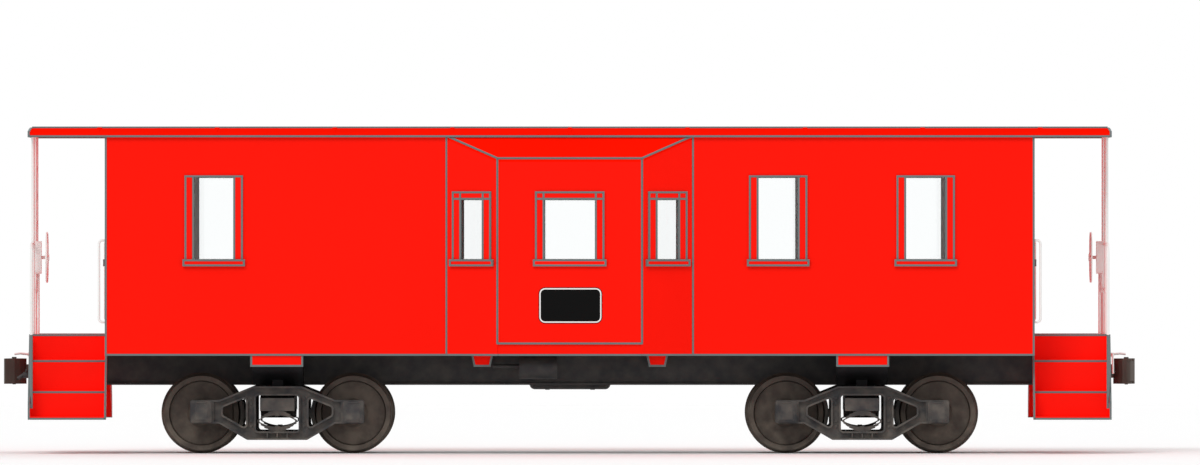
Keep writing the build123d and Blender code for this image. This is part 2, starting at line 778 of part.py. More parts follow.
cylinder = Pos(CYLINDER_X, CYLINDER_Y, cylinder_z) * Rot(0, 90, 0) * Cylinder(
    CYLINDER_R, CYLINDER_LENGTH
)
cylinder += box(
    CYLINDER_X - 130,
    CYLINDER_X + 130,
    CYLINDER_Y - 40,
    CYLINDER_Y + 40,
    cylinder_z,
    Z_FLOOR_UNDER,
)
cylinder += rod(
    (cylinder_end, CYLINDER_Y, cylinder_z),
    (PUSH_ROD_END, CYLINDER_Y, cylinder_z),
    PUSH_ROD_R,
)
save("air_brake_gear", tank, cylinder)

# Seats in the bays with a cushion and a back pad each, and lockers along the walls
SEAT_X = (400.0, 900.0)
SEAT_INNER_Y = 1100.0
SEAT_HEIGHT = 450.0
SEAT_BACK = 80.0
SEAT_BACK_HEIGHT = 390.0
CUSHION = 80.0
CUSHION_GAP = 5.0
seat_y = (150 - BAY_Y, -SEAT_INNER_Y)
z_seat = Z_FLOOR + SEAT_HEIGHT
z_back = z_seat + SEAT_BACK_HEIGHT
back_x = SEAT_X[1] - SEAT_BACK
pad_x = back_x - CUSHION
seat = box(*SEAT_X, *seat_y, Z_FLOOR, z_seat)
seat += box(back_x, SEAT_X[1], *seat_y, z_seat, z_back)
cushion = box(SEAT_X[0], pad_x - CUSHION_GAP, *seat_y, z_seat, z_seat + CUSHION)
back_pad = box(pad_x, back_x, *seat_y, z_seat, z_back)
cushions = all_corners(fillet(cushion.edges(), 20)) + all_corners(fillet(back_pad.edges(), 20))
save("bay_seats", *all_corners(seat))
save("bay_cushions", *cushions)

LOCKER_X = (1700.0, 3500.0)
LOCKER_INNER_Y = 900.0
LOCKER_HEIGHT = 595.0
LOCKER_LID = 25.0
LID_OVER = 10.0
z_lid = Z_FLOOR + LOCKER_HEIGHT
locker = box(*LOCKER_X, -INNER_Y, -LOCKER_INNER_Y, Z_FLOOR, z_lid)
locker += box(
    LOCKER_X[0] - LID_OVER,
    LOCKER_X[1] + LID_OVER,
    -INNER_Y,
    LID_OVER - LOCKER_INNER_Y,
    z_lid,
    z_lid + LOCKER_LID,
)
save("bench_lockers", locker, end_a(locker))

# Wheelsets: an axle and two wheels pressed on it, revolved about Y
AXLE_R = 80.0
WHEEL_SEAT_R = 88.0
BORE_R = WHEEL_SEAT_R + 0.05
HUB_OUTER_R = 130.0
PLATE_IN_R = 160.0
hub_y0 = WHEEL_BACK_Y - 31.5
hub_y1 = WHEEL_FRONT_Y + 19.5
# radius, distance from the car's middle
AXLE_LINE = (
    (0, 0),
    (AXLE_R, 0),
    (AXLE_R, hub_y0 - 15),
    (WHEEL_SEAT_R, hub_y0 - 7),
    (WHEEL_SEAT_R, FRAME_Y0 - 25),
    (JOURNAL_R, FRAME_Y0 - 15),
    (JOURNAL_R, AXLE_END_Y),
    (0, AXLE_END_Y),
)
WHEEL_LINE = (
    (BORE_R, hub_y0),
    (HUB_OUTER_R, hub_y0 + 5),
    (HUB_OUTER_R, WHEEL_BACK_Y + 28),
    (PLATE_IN_R, WHEEL_BACK_Y + 45),
    (TREAD_R - 74, WHEEL_BACK_Y + 40),
    (TREAD_R - 57, WHEEL_BACK_Y),
    (FLANGE_R - 13, WHEEL_BACK_Y),
    (FLANGE_R, WHEEL_BACK_Y + 8),
    (FLANGE_R, WHEEL_BACK_Y + 20),
    (TREAD_R + 4, WHEEL_BACK_Y + 36),
    (TREAD_R - 2, WHEEL_FRONT_Y - 8),
    (TREAD_R - 10, WHEEL_FRONT_Y),
    (TREAD_R - 59, WHEEL_FRONT_Y),
    (TREAD_R - 74, WHEEL_FRONT_Y - 60),
    (PLATE_IN_R, WHEEL_FRONT_Y - 51),
    (HUB_OUTER_R, WHEEL_FRONT_Y - 26),
    (HUB_OUTER_R, hub_y1 - 4),
    (BORE_R, hub_y1),
)
half_axle = revolve(poly(*AXLE_LINE), Axis.Y)
axle = half_axle + far(half_axle)
wheel = revolve(poly(*WHEEL_LINE), Axis.Y)
axle_x = WHEELBASE / 2
AXLES = (
    ("a1", -TRUCK_X - axle_x),
    ("a2", -TRUCK_X + axle_x),
    ("b1", TRUCK_X - axle_x),
    ("b2", TRUCK_X + axle_x),
)
for name, x in AXLES:
    place = Pos(x, 0, AXLE_Z)
    save(f"axle_{name}", place * axle)
    save(f"wheels_{name}", place * wheel, place * far(wheel))

# Truck side frame, about the truck's middle: an arch bar casting with pockets between its flanges
SHOE_GAP = 11.0
SHOE = 40.0
BEAM_TO_SHOE = 75.0
BEAM = 48.0
COLUMN = 110.0
BOX_HALF = 122.0
POCKET = 50.0
POCKET_RIM = 20.0
SEAT_RIB_X = (-110.0, 0.0, 110.0)
shoe_r = TREAD_R + SHOE_GAP
opening_half = axle_x - shoe_r - 173
arm_x = axle_x - 198
z_box = (AXLE_Z - 115, AXLE_Z + 145)
z_frame_top = AXLE_Z + 295
z_frame_foot = AXLE_Z - 295
z_spring_seat = AXLE_Z - 200
z_opening_top = AXLE_Z + 195
z_bolster_seat = AXLE_Z + 25

right_line = [
    (opening_half + 35, z_frame_top),
    (arm_x, z_box[1]),
    (axle_x + BOX_HALF, z_box[1]),
    (axle_x + BOX_HALF, z_box[0]),
    (arm_x, z_box[0]),
    (opening_half + 95, z_frame_foot),
]
left_line = [(-x, z) for x, z in reversed(right_line)]
outline = rounded(28, *right_line, *left_line)
opening = rounded(
    30,
    (-opening_half, z_spring_seat),
    (opening_half, z_spring_seat),
    (opening_half, z_opening_top),
    (-opening_half, z_opening_top),
)
light = rounded(
    25,
    (opening_half + COLUMN, AXLE_Z - 165),
    (opening_half + COLUMN, AXLE_Z + 167),
    (arm_x - 40, AXLE_Z + 65),
    (arm_x - 40, AXLE_Z - 20),
)
outline = outline - opening - light - mirror(light, about=Plane.YZ)
pocket_face = offset(outline, -POCKET_RIM)
for x in (-axle_x, axle_x):
    pocket_face -= Pos(x, AXLE_Z) * Rectangle(2 * BOX_HALF + 30, 2 * z_frame_top)
side_frame = side(outline, FRAME_Y0, FRAME_Y1)
side_frame -= side(pocket_face, FRAME_Y1 - POCKET, FRAME_Y1 + 1)
for x in SEAT_RIB_X:
    side_frame += box(
        x - 7, x + 7, FRAME_Y1 - POCKET, FRAME_Y1 - 8, z_frame_foot + 8, z_spring_seat - 8
    )

# Journal boxes: a rounded housing with a hinged lid on its outer end
LID = 20.0
box_y1 = BOX_Y1 - LID
housing_face = rounded(
    24,
    (8 - BOX_HALF, z_box[0] + 8),
    (BOX_HALF - 8, z_box[0] + 8),
    (BOX_HALF - 8, z_box[1] - 8),
    (8 - BOX_HALF, z_box[1] - 8),
)
lid_face = rounded(
    16,
    (-95, AXLE_Z - 95),
    (95, AXLE_Z - 95),
    (95, AXLE_Z + 60),
    (62, AXLE_Z + 112),
    (-62, AXLE_Z + 112),
    (-95, AXLE_Z + 60),
)
journal_box = side(housing_face, FRAME_Y0, box_y1)
journal_box += side(lid_face, box_y1, BOX_Y1 - 8)
journal_box += side(offset(lid_face, -22), box_y1, BOX_Y1)
z_lid_hinge = AXLE_Z + 116
journal_box += rod((-52, box_y1 + 4, z_lid_hinge), (52, box_y1 + 4, z_lid_hinge), 12)
for x in (-axle_x, axle_x):
    side_frame += Pos(x, 0, 0) * journal_box
    side_frame -= rod(
        (x, 0, AXLE_Z), (x, AXLE_END_Y + 6, AXLE_Z), JOURNAL_R + JOURNAL_PLAY
    )

# Truck bolster: deep in the middle, shallow over the springs, with a bowl for the centre plate
BOLSTER_PLAY = 45.0
BOWL_R = 175.0
bolster_end = FRAME_Y1 - 25
half_bolster = [
    (bolster_end, z_bolster_seat),
    (FRAME_Y0 - 205, z_bolster_seat),
    (400, z_bolster_seat - 80),
    (0, z_bolster_seat - 80),
    (0, Z_CENTRE_PLATE - 25),
    (300, Z_CENTRE_PLATE - 25),
    (bolster_end, z_bolster_seat + 140),
]
bolster_x = opening_half - BOLSTER_PLAY
half = end(poly(*half_bolster), -bolster_x, bolster_x)
truck_bolster = half + far(half)
truck_bolster += Pos(0, 0, Z_CENTRE_PLATE - 40) * Cylinder(
    BOWL_R, 40 - PLATE_GAP, align=upright
)
bearing = box(-110, 110, *bearing_y, Z_CENTRE_PLATE - 60, Z_BEARING)
truck_bolster = truck_bolster + bearing + far(bearing)
kingpin_z = (Z_CENTRE_PLATE - KINGPIN - 10, Z_CENTRE_PLATE + 10)
truck_bolster -= rod((0, 0, kingpin_z[0]), (0, 0, kingpin_z[1]), KINGPIN_R + 2)

# Full elliptic leaf springs: leaves as concentric arcs, each shorter than the last, in two buckles
LEAVES = 4
LEAF = 12.0
SHORTER = 0.2
EYE_R = 11.0
BUCKLE_HALF = 26.0
SPRING_MARGIN = 20.0
spring_half = opening_half - 23
spring_y = (FRAME_Y0 + SPRING_MARGIN, FRAME_Y1 - SPRING_MARGIN)
buckle_y = (spring_y[0] - 6, spring_y[1] + 6)
spring_mid = (z_spring_seat + z_bolster_seat) / 2
camber = z_bolster_seat - spring_mid - LEAVES * LEAF
spring_r = (spring_half**2 + camber**2) / (2 * camber)
spring_span = atan2(spring_half, spring_r - camber)
bow_centre = spring_mid + camber - spring_r


def leaf_face(k):
    """Leaf k of the upper half, as a strip between two arcs."""
    inner = spring_r + k * LEAF
    outer = inner + LEAF
    span = spring_span * (1 - SHORTER * k)
    a0 = (inner * sin(span), bow_centre + inner * cos(span))
    a1 = (outer * sin(span), bow_centre + outer * cos(span))
    line = ThreePointArc((-a0[0], a0[1]), (0, bow_centre + inner), a0)
    line += Line(a0, a1)
    line += ThreePointArc(a1, (0, bow_centre + outer), (-a1[0], a1[1]))
    line += Line((-a1[0], a1[1]), (-a0[0], a0[1]))
    return make_face(line)


upper_bow = leaf_face(0)
for k in range(1, LEAVES):
    upper_bow += leaf_face(k)
bow = side(upper_bow, *spring_y)
buckle_foot = z_bolster_seat - LEAVES * LEAF - 8
bow += box(-BUCKLE_HALF, BUCKLE_HALF, *buckle_y, buckle_foot, z_bolster_seat)
level = Plane.XY.offset(spring_mid)
spring = bow + mirror(bow, about=level)
for x in (6 - spring_half, spring_half - 6):
    spring += rod((x, spring_y[0], spring_mid), (x, spring_y[1], spring_mid), EYE_R)

# Spring plank: a channel between the side frames, under the bolster
PLANK_HALF = 170.0
PLANK = 14.0
z_plank = z_frame_foot + 30
plank = box(-PLANK_HALF, PLANK_HALF, -FRAME_Y0, FRAME_Y0, z_plank, z_plank + 60)
plank -= box(
    PLANK - PLANK_HALF, PLANK_HALF - PLANK, -FRAME_Y0, FRAME_Y0, z_plank + PLANK, z_plank + 60
)

# Brake beams hung between the side frames, with a shoe beside each wheel
beam_x1 = axle_x - shoe_r - BEAM_TO_SHOE
beam_x0 = beam_x1 - BEAM
beam_z = (AXLE_Z - 45, AXLE_Z + 15)
HEAD_Y = (WHEEL_BACK_Y + 49.5, WHEEL_FRONT_Y - 26.5)
SHOE_Y = (WHEEL_BACK_Y + 37.5, WHEEL_FRONT_Y - 16.5)
beam = plan(
    [
        (beam_x1, -FRAME_Y0),
        (beam_x1, FRAME_Y0),
        (beam_x0 + 18, FRAME_Y0),
        (beam_x0, 0),
        (beam_x0 + 18, -FRAME_Y0),
    ],
    *beam_z,
)
shoe_face = Circle(shoe_r + SHOE) - Circle(shoe_r)
shoe_face &= poly((0, 0), (-600, 190), (-600, -190))
shoe = side(Pos(axle_x, AXLE_Z) * shoe_face, *SHOE_Y)
head_block = box(beam_x1 - 8, axle_x - shoe_r - 20, *HEAD_Y, AXLE_Z - 45, AXLE_Z + 35)
for one in (shoe, far(shoe), head_block, far(head_block)):
    beam += one
beams = [beam, mirror(beam, about=Plane.YZ)]

for name, x in (("a", -TRUCK_X), ("b", TRUCK_X)):
    here = Pos(x, 0, 0)
    save(f"truck_side_frames_{name}", here * side_frame, here * far(side_frame))
    save(f"truck_bolster_{name}", here * truck_bolster)
    save(f"truck_springs_{name}", here * spring, here * far(spring))
    save(f"spring_plank_{name}", here * plank)
    save(f"brake_beams_{name}", *[here * one for one in beams])
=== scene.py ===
import math

import bmesh
import bpy
from mathutils import Matrix, Vector


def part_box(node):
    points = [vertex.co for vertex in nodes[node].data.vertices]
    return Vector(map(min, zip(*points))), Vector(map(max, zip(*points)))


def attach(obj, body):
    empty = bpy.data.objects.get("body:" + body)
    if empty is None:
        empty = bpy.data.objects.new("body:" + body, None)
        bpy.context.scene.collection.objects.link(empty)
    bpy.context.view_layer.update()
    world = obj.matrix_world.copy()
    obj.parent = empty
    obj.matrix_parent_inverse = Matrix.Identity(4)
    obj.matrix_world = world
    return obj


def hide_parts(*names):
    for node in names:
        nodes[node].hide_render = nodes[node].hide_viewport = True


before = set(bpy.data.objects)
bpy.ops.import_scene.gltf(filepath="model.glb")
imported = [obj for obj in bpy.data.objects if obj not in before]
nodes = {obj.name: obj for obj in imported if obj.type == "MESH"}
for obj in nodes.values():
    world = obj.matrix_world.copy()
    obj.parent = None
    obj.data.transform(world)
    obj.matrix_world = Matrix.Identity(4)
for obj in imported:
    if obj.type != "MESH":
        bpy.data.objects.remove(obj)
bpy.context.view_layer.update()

scene = bpy.context.scene

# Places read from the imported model, in metres
BODY_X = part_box("side_walls")[1].x
BODY_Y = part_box("side_walls")[1].y
Z_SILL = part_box("side_walls")[0].z
Z_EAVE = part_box("side_walls")[1].z
INNER_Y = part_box("cabin_floor")[1].y
ROOF_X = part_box("roof")[1].x
EAVE_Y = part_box("roof")[1].y
BAY_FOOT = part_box("bay_roofs")[1].x
BAY_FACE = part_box("bay_faces")[1].x
BAY_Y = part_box("bay_faces")[1].y
Z_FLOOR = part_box("cabin_floor")[1].z
Z_BOLSTER_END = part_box("crossbearers")[0].z
Z_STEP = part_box("step_plates")[0].z
STAIR_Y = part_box("platforms")[1].y
TRUCK_X = (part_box("truck_bolster_b")[0].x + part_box("truck_bolster_b")[1].x) / 2
# half length of a crossbearer's end along its top
BEARER_TOP = 0.110
CROSSBEARER_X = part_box("crossbearers")[1].x - BEARER_TOP
AXLE_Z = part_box("wheels_b1")[1].z / 2
AXLE_R = 0.088
AXLE_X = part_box("axle_b2")[1].x - AXLE_R - TRUCK_X
BOX_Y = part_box("truck_side_frames_b")[1].y
DOOR_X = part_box("door_leaf_b")[1].x
WALL = BODY_Y - INNER_Y
BAY_DROP = 0.2475
BAY_FACE_RISE = 0.1265
Z_BAY_TOP = Z_EAVE - BAY_DROP
Z_BAY_FACE = Z_SILL + BAY_FACE_RISE
# heights over the floor of the window sills, the tall windows' tops and the other windows' tops
SILL_OVER_FLOOR = 0.8195
TALL_OVER_FLOOR = 1.7435
LOW_OVER_FLOOR = 1.496
Z_WINDOW = Z_FLOOR + SILL_OVER_FLOOR
Z_TALL_TOP = Z_FLOOR + TALL_OVER_FLOOR
Z_LOW_TOP = Z_FLOOR + LOW_OVER_FLOOR

# Camera: level, square to the side, with a very long lens as in a side elevation
FRAME_WIDTH = 13.2
LENS = 600.0
SENSOR = 36.0
AIM = Vector((0.3333, -BODY_Y, 2.4356))
camera_data = bpy.data.cameras.new("side_camera")
camera_data.sensor_width = SENSOR
camera_data.lens = LENS
distance = FRAME_WIDTH * LENS / SENSOR
camera_data.clip_start = 1.0
camera_data.clip_end = distance * 3
camera = bpy.data.objects.new("side_camera", camera_data)
camera.location = AIM + Vector((0, -distance, 0))
camera.rotation_euler = (math.radians(90), 0, 0)
scene.collection.objects.link(camera)
scene.camera = camera
scene.view_settings.view_transform = "Standard"


# Shared shader groups
def shader_group(name, inputs, outputs):
    """Empty node group with its sockets; each input is (name, kind, default)."""
    group = bpy.data.node_groups.new(name, "ShaderNodeTree")
    for label, kind, value in inputs:
        socket = group.interface.new_socket(label, in_out="INPUT", socket_type=kind)
        if value is not None:
            socket.default_value = value
    for label, kind in outputs:
        group.interface.new_socket(label, in_out="OUTPUT", socket_type=kind)
    return group, group.nodes.new("NodeGroupInput"), group.nodes.new("NodeGroupOutput")


def math_node(tree, operation, value=None, slot=1):
    """Math node; value, if given, goes into the input numbered slot."""
    node = tree.nodes.new("ShaderNodeMath")
    node.operation = operation
    if value is not None:
        node.inputs[slot].default_value = value
    return node


def range_node(tree, low, high, to_low=0.0, to_high=1.0):
    """Node that maps low..high to to_low..to_high and clamps outside."""
    node = tree.nodes.new("ShaderNodeMapRange")
    node.inputs["From Min"].default_value = low
    node.inputs["From Max"].default_value = high
    node.inputs["To Min"].default_value = to_low
    node.inputs["To Max"].default_value = to_high
    return node


def make_mottle():
    """Slow change of shade over a painted or cast surface, with a mask for its roughness."""
    group, source, result = shader_group(
        "Mottle",
        (
            ("Vector", "NodeSocketVector", None),
            ("Color", "NodeSocketColor", (1, 1, 1, 1)),
            ("Scale", "NodeSocketFloat", 1.0),
            ("Depth", "NodeSocketFloat", 0.1),
        ),
        (("Color", "NodeSocketColor"), ("Mask", "NodeSocketFloat")),
    )
    noise = group.nodes.new("ShaderNodeTexNoise")
    noise.inputs["Detail"].default_value = 5.0
    shade = range_node(group, 0.3, 0.7)
    darker = math_node(group, "MULTIPLY")
    value = math_node(group, "SUBTRACT", 1.0, slot=0)
    tint = group.nodes.new("ShaderNodeVectorMath")
    tint.operation = "SCALE"
    link = group.links.new
    link(source.outputs["Vector"], noise.inputs["Vector"])
    link(source.outputs["Scale"], noise.inputs["Scale"])
    link(noise.outputs["Fac"], shade.inputs["Value"])
    link(shade.outputs["Result"], darker.inputs[0])
    link(source.outputs["Depth"], darker.inputs[1])
    link(darker.outputs[0], value.inputs[1])
    link(source.outputs["Color"], tint.inputs[0])
    link(value.outputs[0], tint.inputs["Scale"])
    link(tint.outputs[0], result.inputs["Color"])
    link(shade.outputs["Result"], result.inputs["Mask"])
    return group


def make_grain():
    """Fine and coarse unevenness of a surface, as a height."""
    group, source, result = shader_group(
        "Grain",
        (
            ("Vector", "NodeSocketVector", None),
            ("Fine Scale", "NodeSocketFloat", 200.0),
            ("Coarse Scale", "NodeSocketFloat", 3.0),
            ("Coarse Share", "NodeSocketFloat", 0.5),
        ),
        (("Height", "NodeSocketFloat"),),
    )
    fine = group.nodes.new("ShaderNodeTexNoise")
    coarse = group.nodes.new("ShaderNodeTexNoise")
    mix = group.nodes.new("ShaderNodeMix")
    link = group.links.new
    link(source.outputs["Vector"], fine.inputs["Vector"])
    link(source.outputs["Vector"], coarse.inputs["Vector"])
    link(source.outputs["Fine Scale"], fine.inputs["Scale"])
    link(source.outputs["Coarse Scale"], coarse.inputs["Scale"])
    link(source.outputs["Coarse Share"], mix.inputs["Factor"])
    link(fine.outputs["Fac"], mix.inputs["A"])
    link(coarse.outputs["Fac"], mix.inputs["B"])
    link(mix.outputs["Result"], result.inputs["Height"])
    return group


def make_dust():
    """Pale road dust in patches, thicker low down and thinning towards the top."""
    group, source, result = shader_group(
        "Road Dust",
        (
            ("Vector", "NodeSocketVector", None),
            ("Color", "NodeSocketColor", (1, 1, 1, 1)),
            ("Dust Color", "NodeSocketColor", (0.32, 0.27, 0.21, 1)),
            ("Top", "NodeSocketFloat", 1.0),
            ("Amount", "NodeSocketFloat", 0.4),
        ),
        (("Color", "NodeSocketColor"), ("Mask", "NodeSocketFloat")),
    )
    split = group.nodes.new("ShaderNodeSeparateXYZ")
    fade = range_node(group, 0.0, 1.0, 1.0, 0.25)
    noise = group.nodes.new("ShaderNodeTexNoise")
    noise.inputs["Scale"].default_value = 7.0
    noise.inputs["Detail"].default_value = 6.0
    patch = range_node(group, 0.35, 0.68)
    spread = math_node(group, "MULTIPLY")
    amount = math_node(group, "MULTIPLY")
    blend = group.nodes.new("ShaderNodeMix")
    blend.data_type = "RGBA"
    link = group.links.new
    link(source.outputs["Vector"], split.inputs[0])
    link(source.outputs["Vector"], noise.inputs["Vector"])
    link(split.outputs["Z"], fade.inputs["Value"])
    link(source.outputs["Top"], fade.inputs["From Max"])
    link(noise.outputs["Fac"], patch.inputs["Value"])
    link(fade.outputs["Result"], spread.inputs[0])
    link(patch.outputs["Result"], spread.inputs[1])
    link(spread.outputs[0], amount.inputs[0])
    link(source.outputs["Amount"], amount.inputs[1])
    link(amount.outputs[0], blend.inputs["Factor"])
    link(source.outputs["Color"], blend.inputs["A"])
    link(source.outputs["Dust Color"], blend.inputs["B"])
    link(blend.outputs["Result"], result.inputs["Color"])
    link(amount.outputs[0], result.inputs["Mask"])
    return group


def make_tread_plate():
    """Raised lozenges of tread plate, as a height over X and Y."""
    group, source, result = shader_group(
        "Tread Plate",
        (("Vector", "NodeSocketVector", None), ("Pitch", "NodeSocketFloat", 90.0)),
        (("Height", "NodeSocketFloat"),),
    )
    link = group.links.new
    split = group.nodes.new("ShaderNodeSeparateXYZ")
    link(source.outputs["Vector"], split.inputs[0])
    product = math_node(group, "MULTIPLY")
    for k, operation in enumerate(("ADD", "SUBTRACT")):
        slant = math_node(group, operation)
        turns = math_node(group, "MULTIPLY")
        wave = math_node(group, "SINE")
        link(split.outputs["X"], slant.inputs[0])
        link(split.outputs["Y"], slant.inputs[1])
        link(slant.outputs[0], turns.inputs[0])
        link(source.outputs["Pitch"], turns.inputs[1])
        link(turns.outputs[0], wave.inputs[0])
        link(wave.outputs[0], product.inputs[k])
    raised = range_node(group, 0.45, 0.7)
    surface = group.nodes.new("ShaderNodeNewGeometry")
    facing = group.nodes.new("ShaderNodeSeparateXYZ")
    level = math_node(group, "GREATER_THAN", 0.7)
    only_level = math_node(group, "MULTIPLY")
    link(product.outputs[0], raised.inputs["Value"])
    link(surface.outputs["Normal"], facing.inputs[0])
    link(facing.outputs["Z"], level.inputs[0])
    link(raised.outputs["Result"], only_level.inputs[0])
    link(level.outputs[0], only_level.inputs[1])
    link(only_level.outputs[0], result.inputs["Height"])
    return group


MOTTLE = make_mottle()
GRAIN = make_grain()
DUST = make_dust()
TREAD_PLATE = make_tread_plate()


def add_group(material, group, **values):
    """Shader group in a material; an underscore in a name stands for a space."""
    node = material.node_tree.nodes.new("ShaderNodeGroup")
    node.node_tree = group
    for label, value in values.items():
        node.inputs[label.replace("_", " ")].default_value = value
    return node


def finish(
    name,
    color,
    roughness=0.4,
    spread=0.12,
    mottle=0.06,
    mottle_scale=1.2,
    grain=(220.0, 3.0, 0.4),
    bump=0.08,
    metallic=0.0,
    gloss=0.5,
    dust=0.0,
    dust_top=1.2,
    lozenges=False,
):
    """Painted, cast or bare metal finish built from the shared groups."""
    material = bpy.data.materials.new(name)
    material.use_nodes = True
    tree = material.node_tree
    link = tree.links.new
    shader = tree.nodes["Principled BSDF"]
    place = tree.nodes.new("ShaderNodeTexCoord")
    rgba = (*color, 1.0)
    shade = add_group(material, MOTTLE, Color=rgba, Scale=mottle_scale, Depth=mottle)
    height = add_group(
        material, GRAIN, Fine_Scale=grain[0], Coarse_Scale=grain[1], Coarse_Share=grain[2]
    )
    rough_low = max(roughness - spread / 2, 0.03)
    rough = range_node(tree, 0.0, 1.0, rough_low, min(roughness + spread / 2, 1.0))
    relief = tree.nodes.new("ShaderNodeBump")
    relief.inputs["Strength"].default_value = bump
    relief.inputs["Distance"].default_value = 0.002
    link(place.outputs["Object"], shade.inputs["Vector"])
    link(place.outputs["Object"], height.inputs["Vector"])
    link(shade.outputs["Mask"], rough.inputs["Value"])
    link(rough.outputs["Result"], shader.inputs["Roughness"])
    link(height.outputs["Height"], relief.inputs["Height"])
    link(relief.outputs["Normal"], shader.inputs["Normal"])
    if lozenges:
        plate = add_group(material, TREAD_PLATE)
        raised = tree.nodes.new("ShaderNodeBump")
        raised.inputs["Strength"].default_value = 0.6
        raised.inputs["Distance"].default_value = 0.003
        link(place.outputs["Object"], plate.inputs["Vector"])
        link(plate.outputs["Height"], raised.inputs["Height"])
        link(relief.outputs["Normal"], raised.inputs["Normal"])
        link(raised.outputs["Normal"], shader.inputs["Normal"])
    top_color = shade.outputs["Color"]
    if dust:
        dusty = add_group(material, DUST, Top=dust_top, Amount=dust)
        link(place.outputs["Object"], dusty.inputs["Vector"])
        link(top_color, dusty.inputs["Color"])
        top_color = dusty.outputs["Color"]
    link(top_color, shader.inputs["Base Color"])
    shader.inputs["Metallic"].default_value = metallic
    shader.inputs["Specular IOR Level"].default_value = gloss
    return material


def lined(name, outer, inner, wall, **looks):
    """Two colours that meet at a plane; wall is that plane, (nx, ny, nz, distance)."""
    material = finish(name, outer, **looks)
    tree = material.node_tree
    link = tree.links.new
    shader = tree.nodes["Principled BSDF"]
    place = tree.nodes.new("ShaderNodeTexCoord")
    fold = tree.nodes.new("ShaderNodeVectorMath")
    fold.operation = "ABSOLUTE"
    reach = tree.nodes.new("ShaderNodeVectorMath")
    reach.operation = "DOT_PRODUCT"
    reach.inputs[1].default_value = wall[:3]
    inside = math_node(tree, "LESS_THAN", wall[3])
    choose = tree.nodes.new("ShaderNodeMix")
    choose.data_type = "RGBA"
    choose.inputs["B"].default_value = (*inner, 1.0)
    outside = shader.inputs["Base Color"].links[0].from_socket
    link(place.outputs["Object"], fold.inputs[0])
    link(fold.outputs[0], reach.inputs[0])
    link(reach.outputs["Value"], inside.inputs[0])
    link(inside.outputs[0], choose.inputs["Factor"])
    link(outside, choose.inputs["A"])
    link(choose.outputs["Result"], shader.inputs["Base Color"])
    return material


RED = (1.0, 0.0065, 0.0006)
EDGE_GREY = (0.155, 0.185, 0.185)
CREAM = (0.78, 0.76, 0.68)
BLACK = (0.022, 0.022, 0.024)
WHITE = (0.86, 0.86, 0.84)

ENAMEL = dict(roughness=0.5, mottle=0.03, bump=0.05, gloss=0.06)
SKIN = 0.0001
# how far the red reaches in on the ends of the beams
BEAM_RED = 0.17
side_paint = lined("Side enamel", RED, CREAM, (0, 1, 0, INNER_Y + SKIN), **ENAMEL)
end_paint = lined("End enamel", RED, CREAM, (1, 0, 0, BODY_X - WALL + SKIN), **ENAMEL)
face_paint = lined("Bay face enamel", RED, CREAM, (0, 1, 0, BAY_Y - WALL + SKIN), **ENAMEL)
bay_run = BAY_FOOT - BAY_FACE
bay_out = BAY_Y - BODY_Y
cheek_length = math.hypot(bay_run, bay_out)
cheek_n = (bay_out / cheek_length, bay_run / cheek_length, 0)
cheek_d = cheek_n[0] * BAY_FOOT + cheek_n[1] * BODY_Y - WALL + SKIN
cheek_paint = lined("Bay cheek enamel", RED, CREAM, (*cheek_n, cheek_d), **ENAMEL)
beam_paint = lined("Beam enamel", RED, BLACK, (0, 1, 0, BODY_Y - BEAM_RED), **ENAMEL)
roof_paint = finish("Roof enamel", RED, roughness=0.7, mottle=0.06, bump=0.08, gloss=0.0)
plain_red = finish("Fitting enamel", RED, roughness=0.5, mottle=0.03, bump=0.05, gloss=0.08)
step_paint = finish("Step enamel", RED, roughness=0.5, mottle=0.05, gloss=0.08, lozenges=True)
rail_paint = finish("Rail white", WHITE, roughness=0.4, mottle=0.05, bump=0.05, gloss=0.3)
corner_paint = lined(
    "Corner rail white", WHITE, EDGE_GREY, (0, 0, 1, Z_FLOOR),
    roughness=0.4, mottle=0.05, bump=0.05, gloss=0.15,
)
edge_paint = finish("Edge grey", EDGE_GREY, roughness=0.55, mottle=0.08, bump=0.06, gloss=0.15)
plaque_black = finish("Plaque black", (0.004, 0.004, 0.004), mottle=0.05, gloss=0.05)
plaque_white = finish("Plaque white", WHITE, roughness=0.4, mottle=0.03, gloss=0.2)
truck_paint = finish(
    "Truck black", BLACK, roughness=0.6, mottle=0.2, bump=0.3, grain=(90.0, 6.0, 0.3), dust=0.35
)
under_paint = finish(
    "Underframe black", BLACK, roughness=0.6, mottle=0.2, bump=0.2, dust=0.2, dust_top=1.3
)
wheel_steel = finish(
    "Wheel steel", (0.075, 0.058, 0.048), roughness=0.62, mottle=0.35, bump=0.25,
    grain=(70.0, 8.0, 0.3), metallic=0.55, dust=0.3,
)
spring_steel = finish(
    "Spring steel", (0.06, 0.055, 0.052), roughness=0.5, mottle=0.3, bump=0.2, metallic=0.6,
    dust=0.25,
)
coupler_iron = finish(
    "Coupler iron", (0.085, 0.062, 0.05), roughness=0.66, mottle=0.35, bump=0.4,
    grain=(60.0, 9.0, 0.3), metallic=0.4,
)
handle_steel = finish(
    "Handle steel", (0.55, 0.54, 0.52), roughness=0.3, mottle=0.12, bump=0.05, metallic=1.0
)
locker_paint = finish("Locker green", (0.30, 0.38, 0.31), roughness=0.5, mottle=0.1)
seat_vinyl = finish(
    "Cushion vinyl", (0.035, 0.06, 0.05), roughness=0.42, mottle=0.25, mottle_scale=6.0, bump=0.35,
    grain=(420.0, 24.0, 0.35),
)


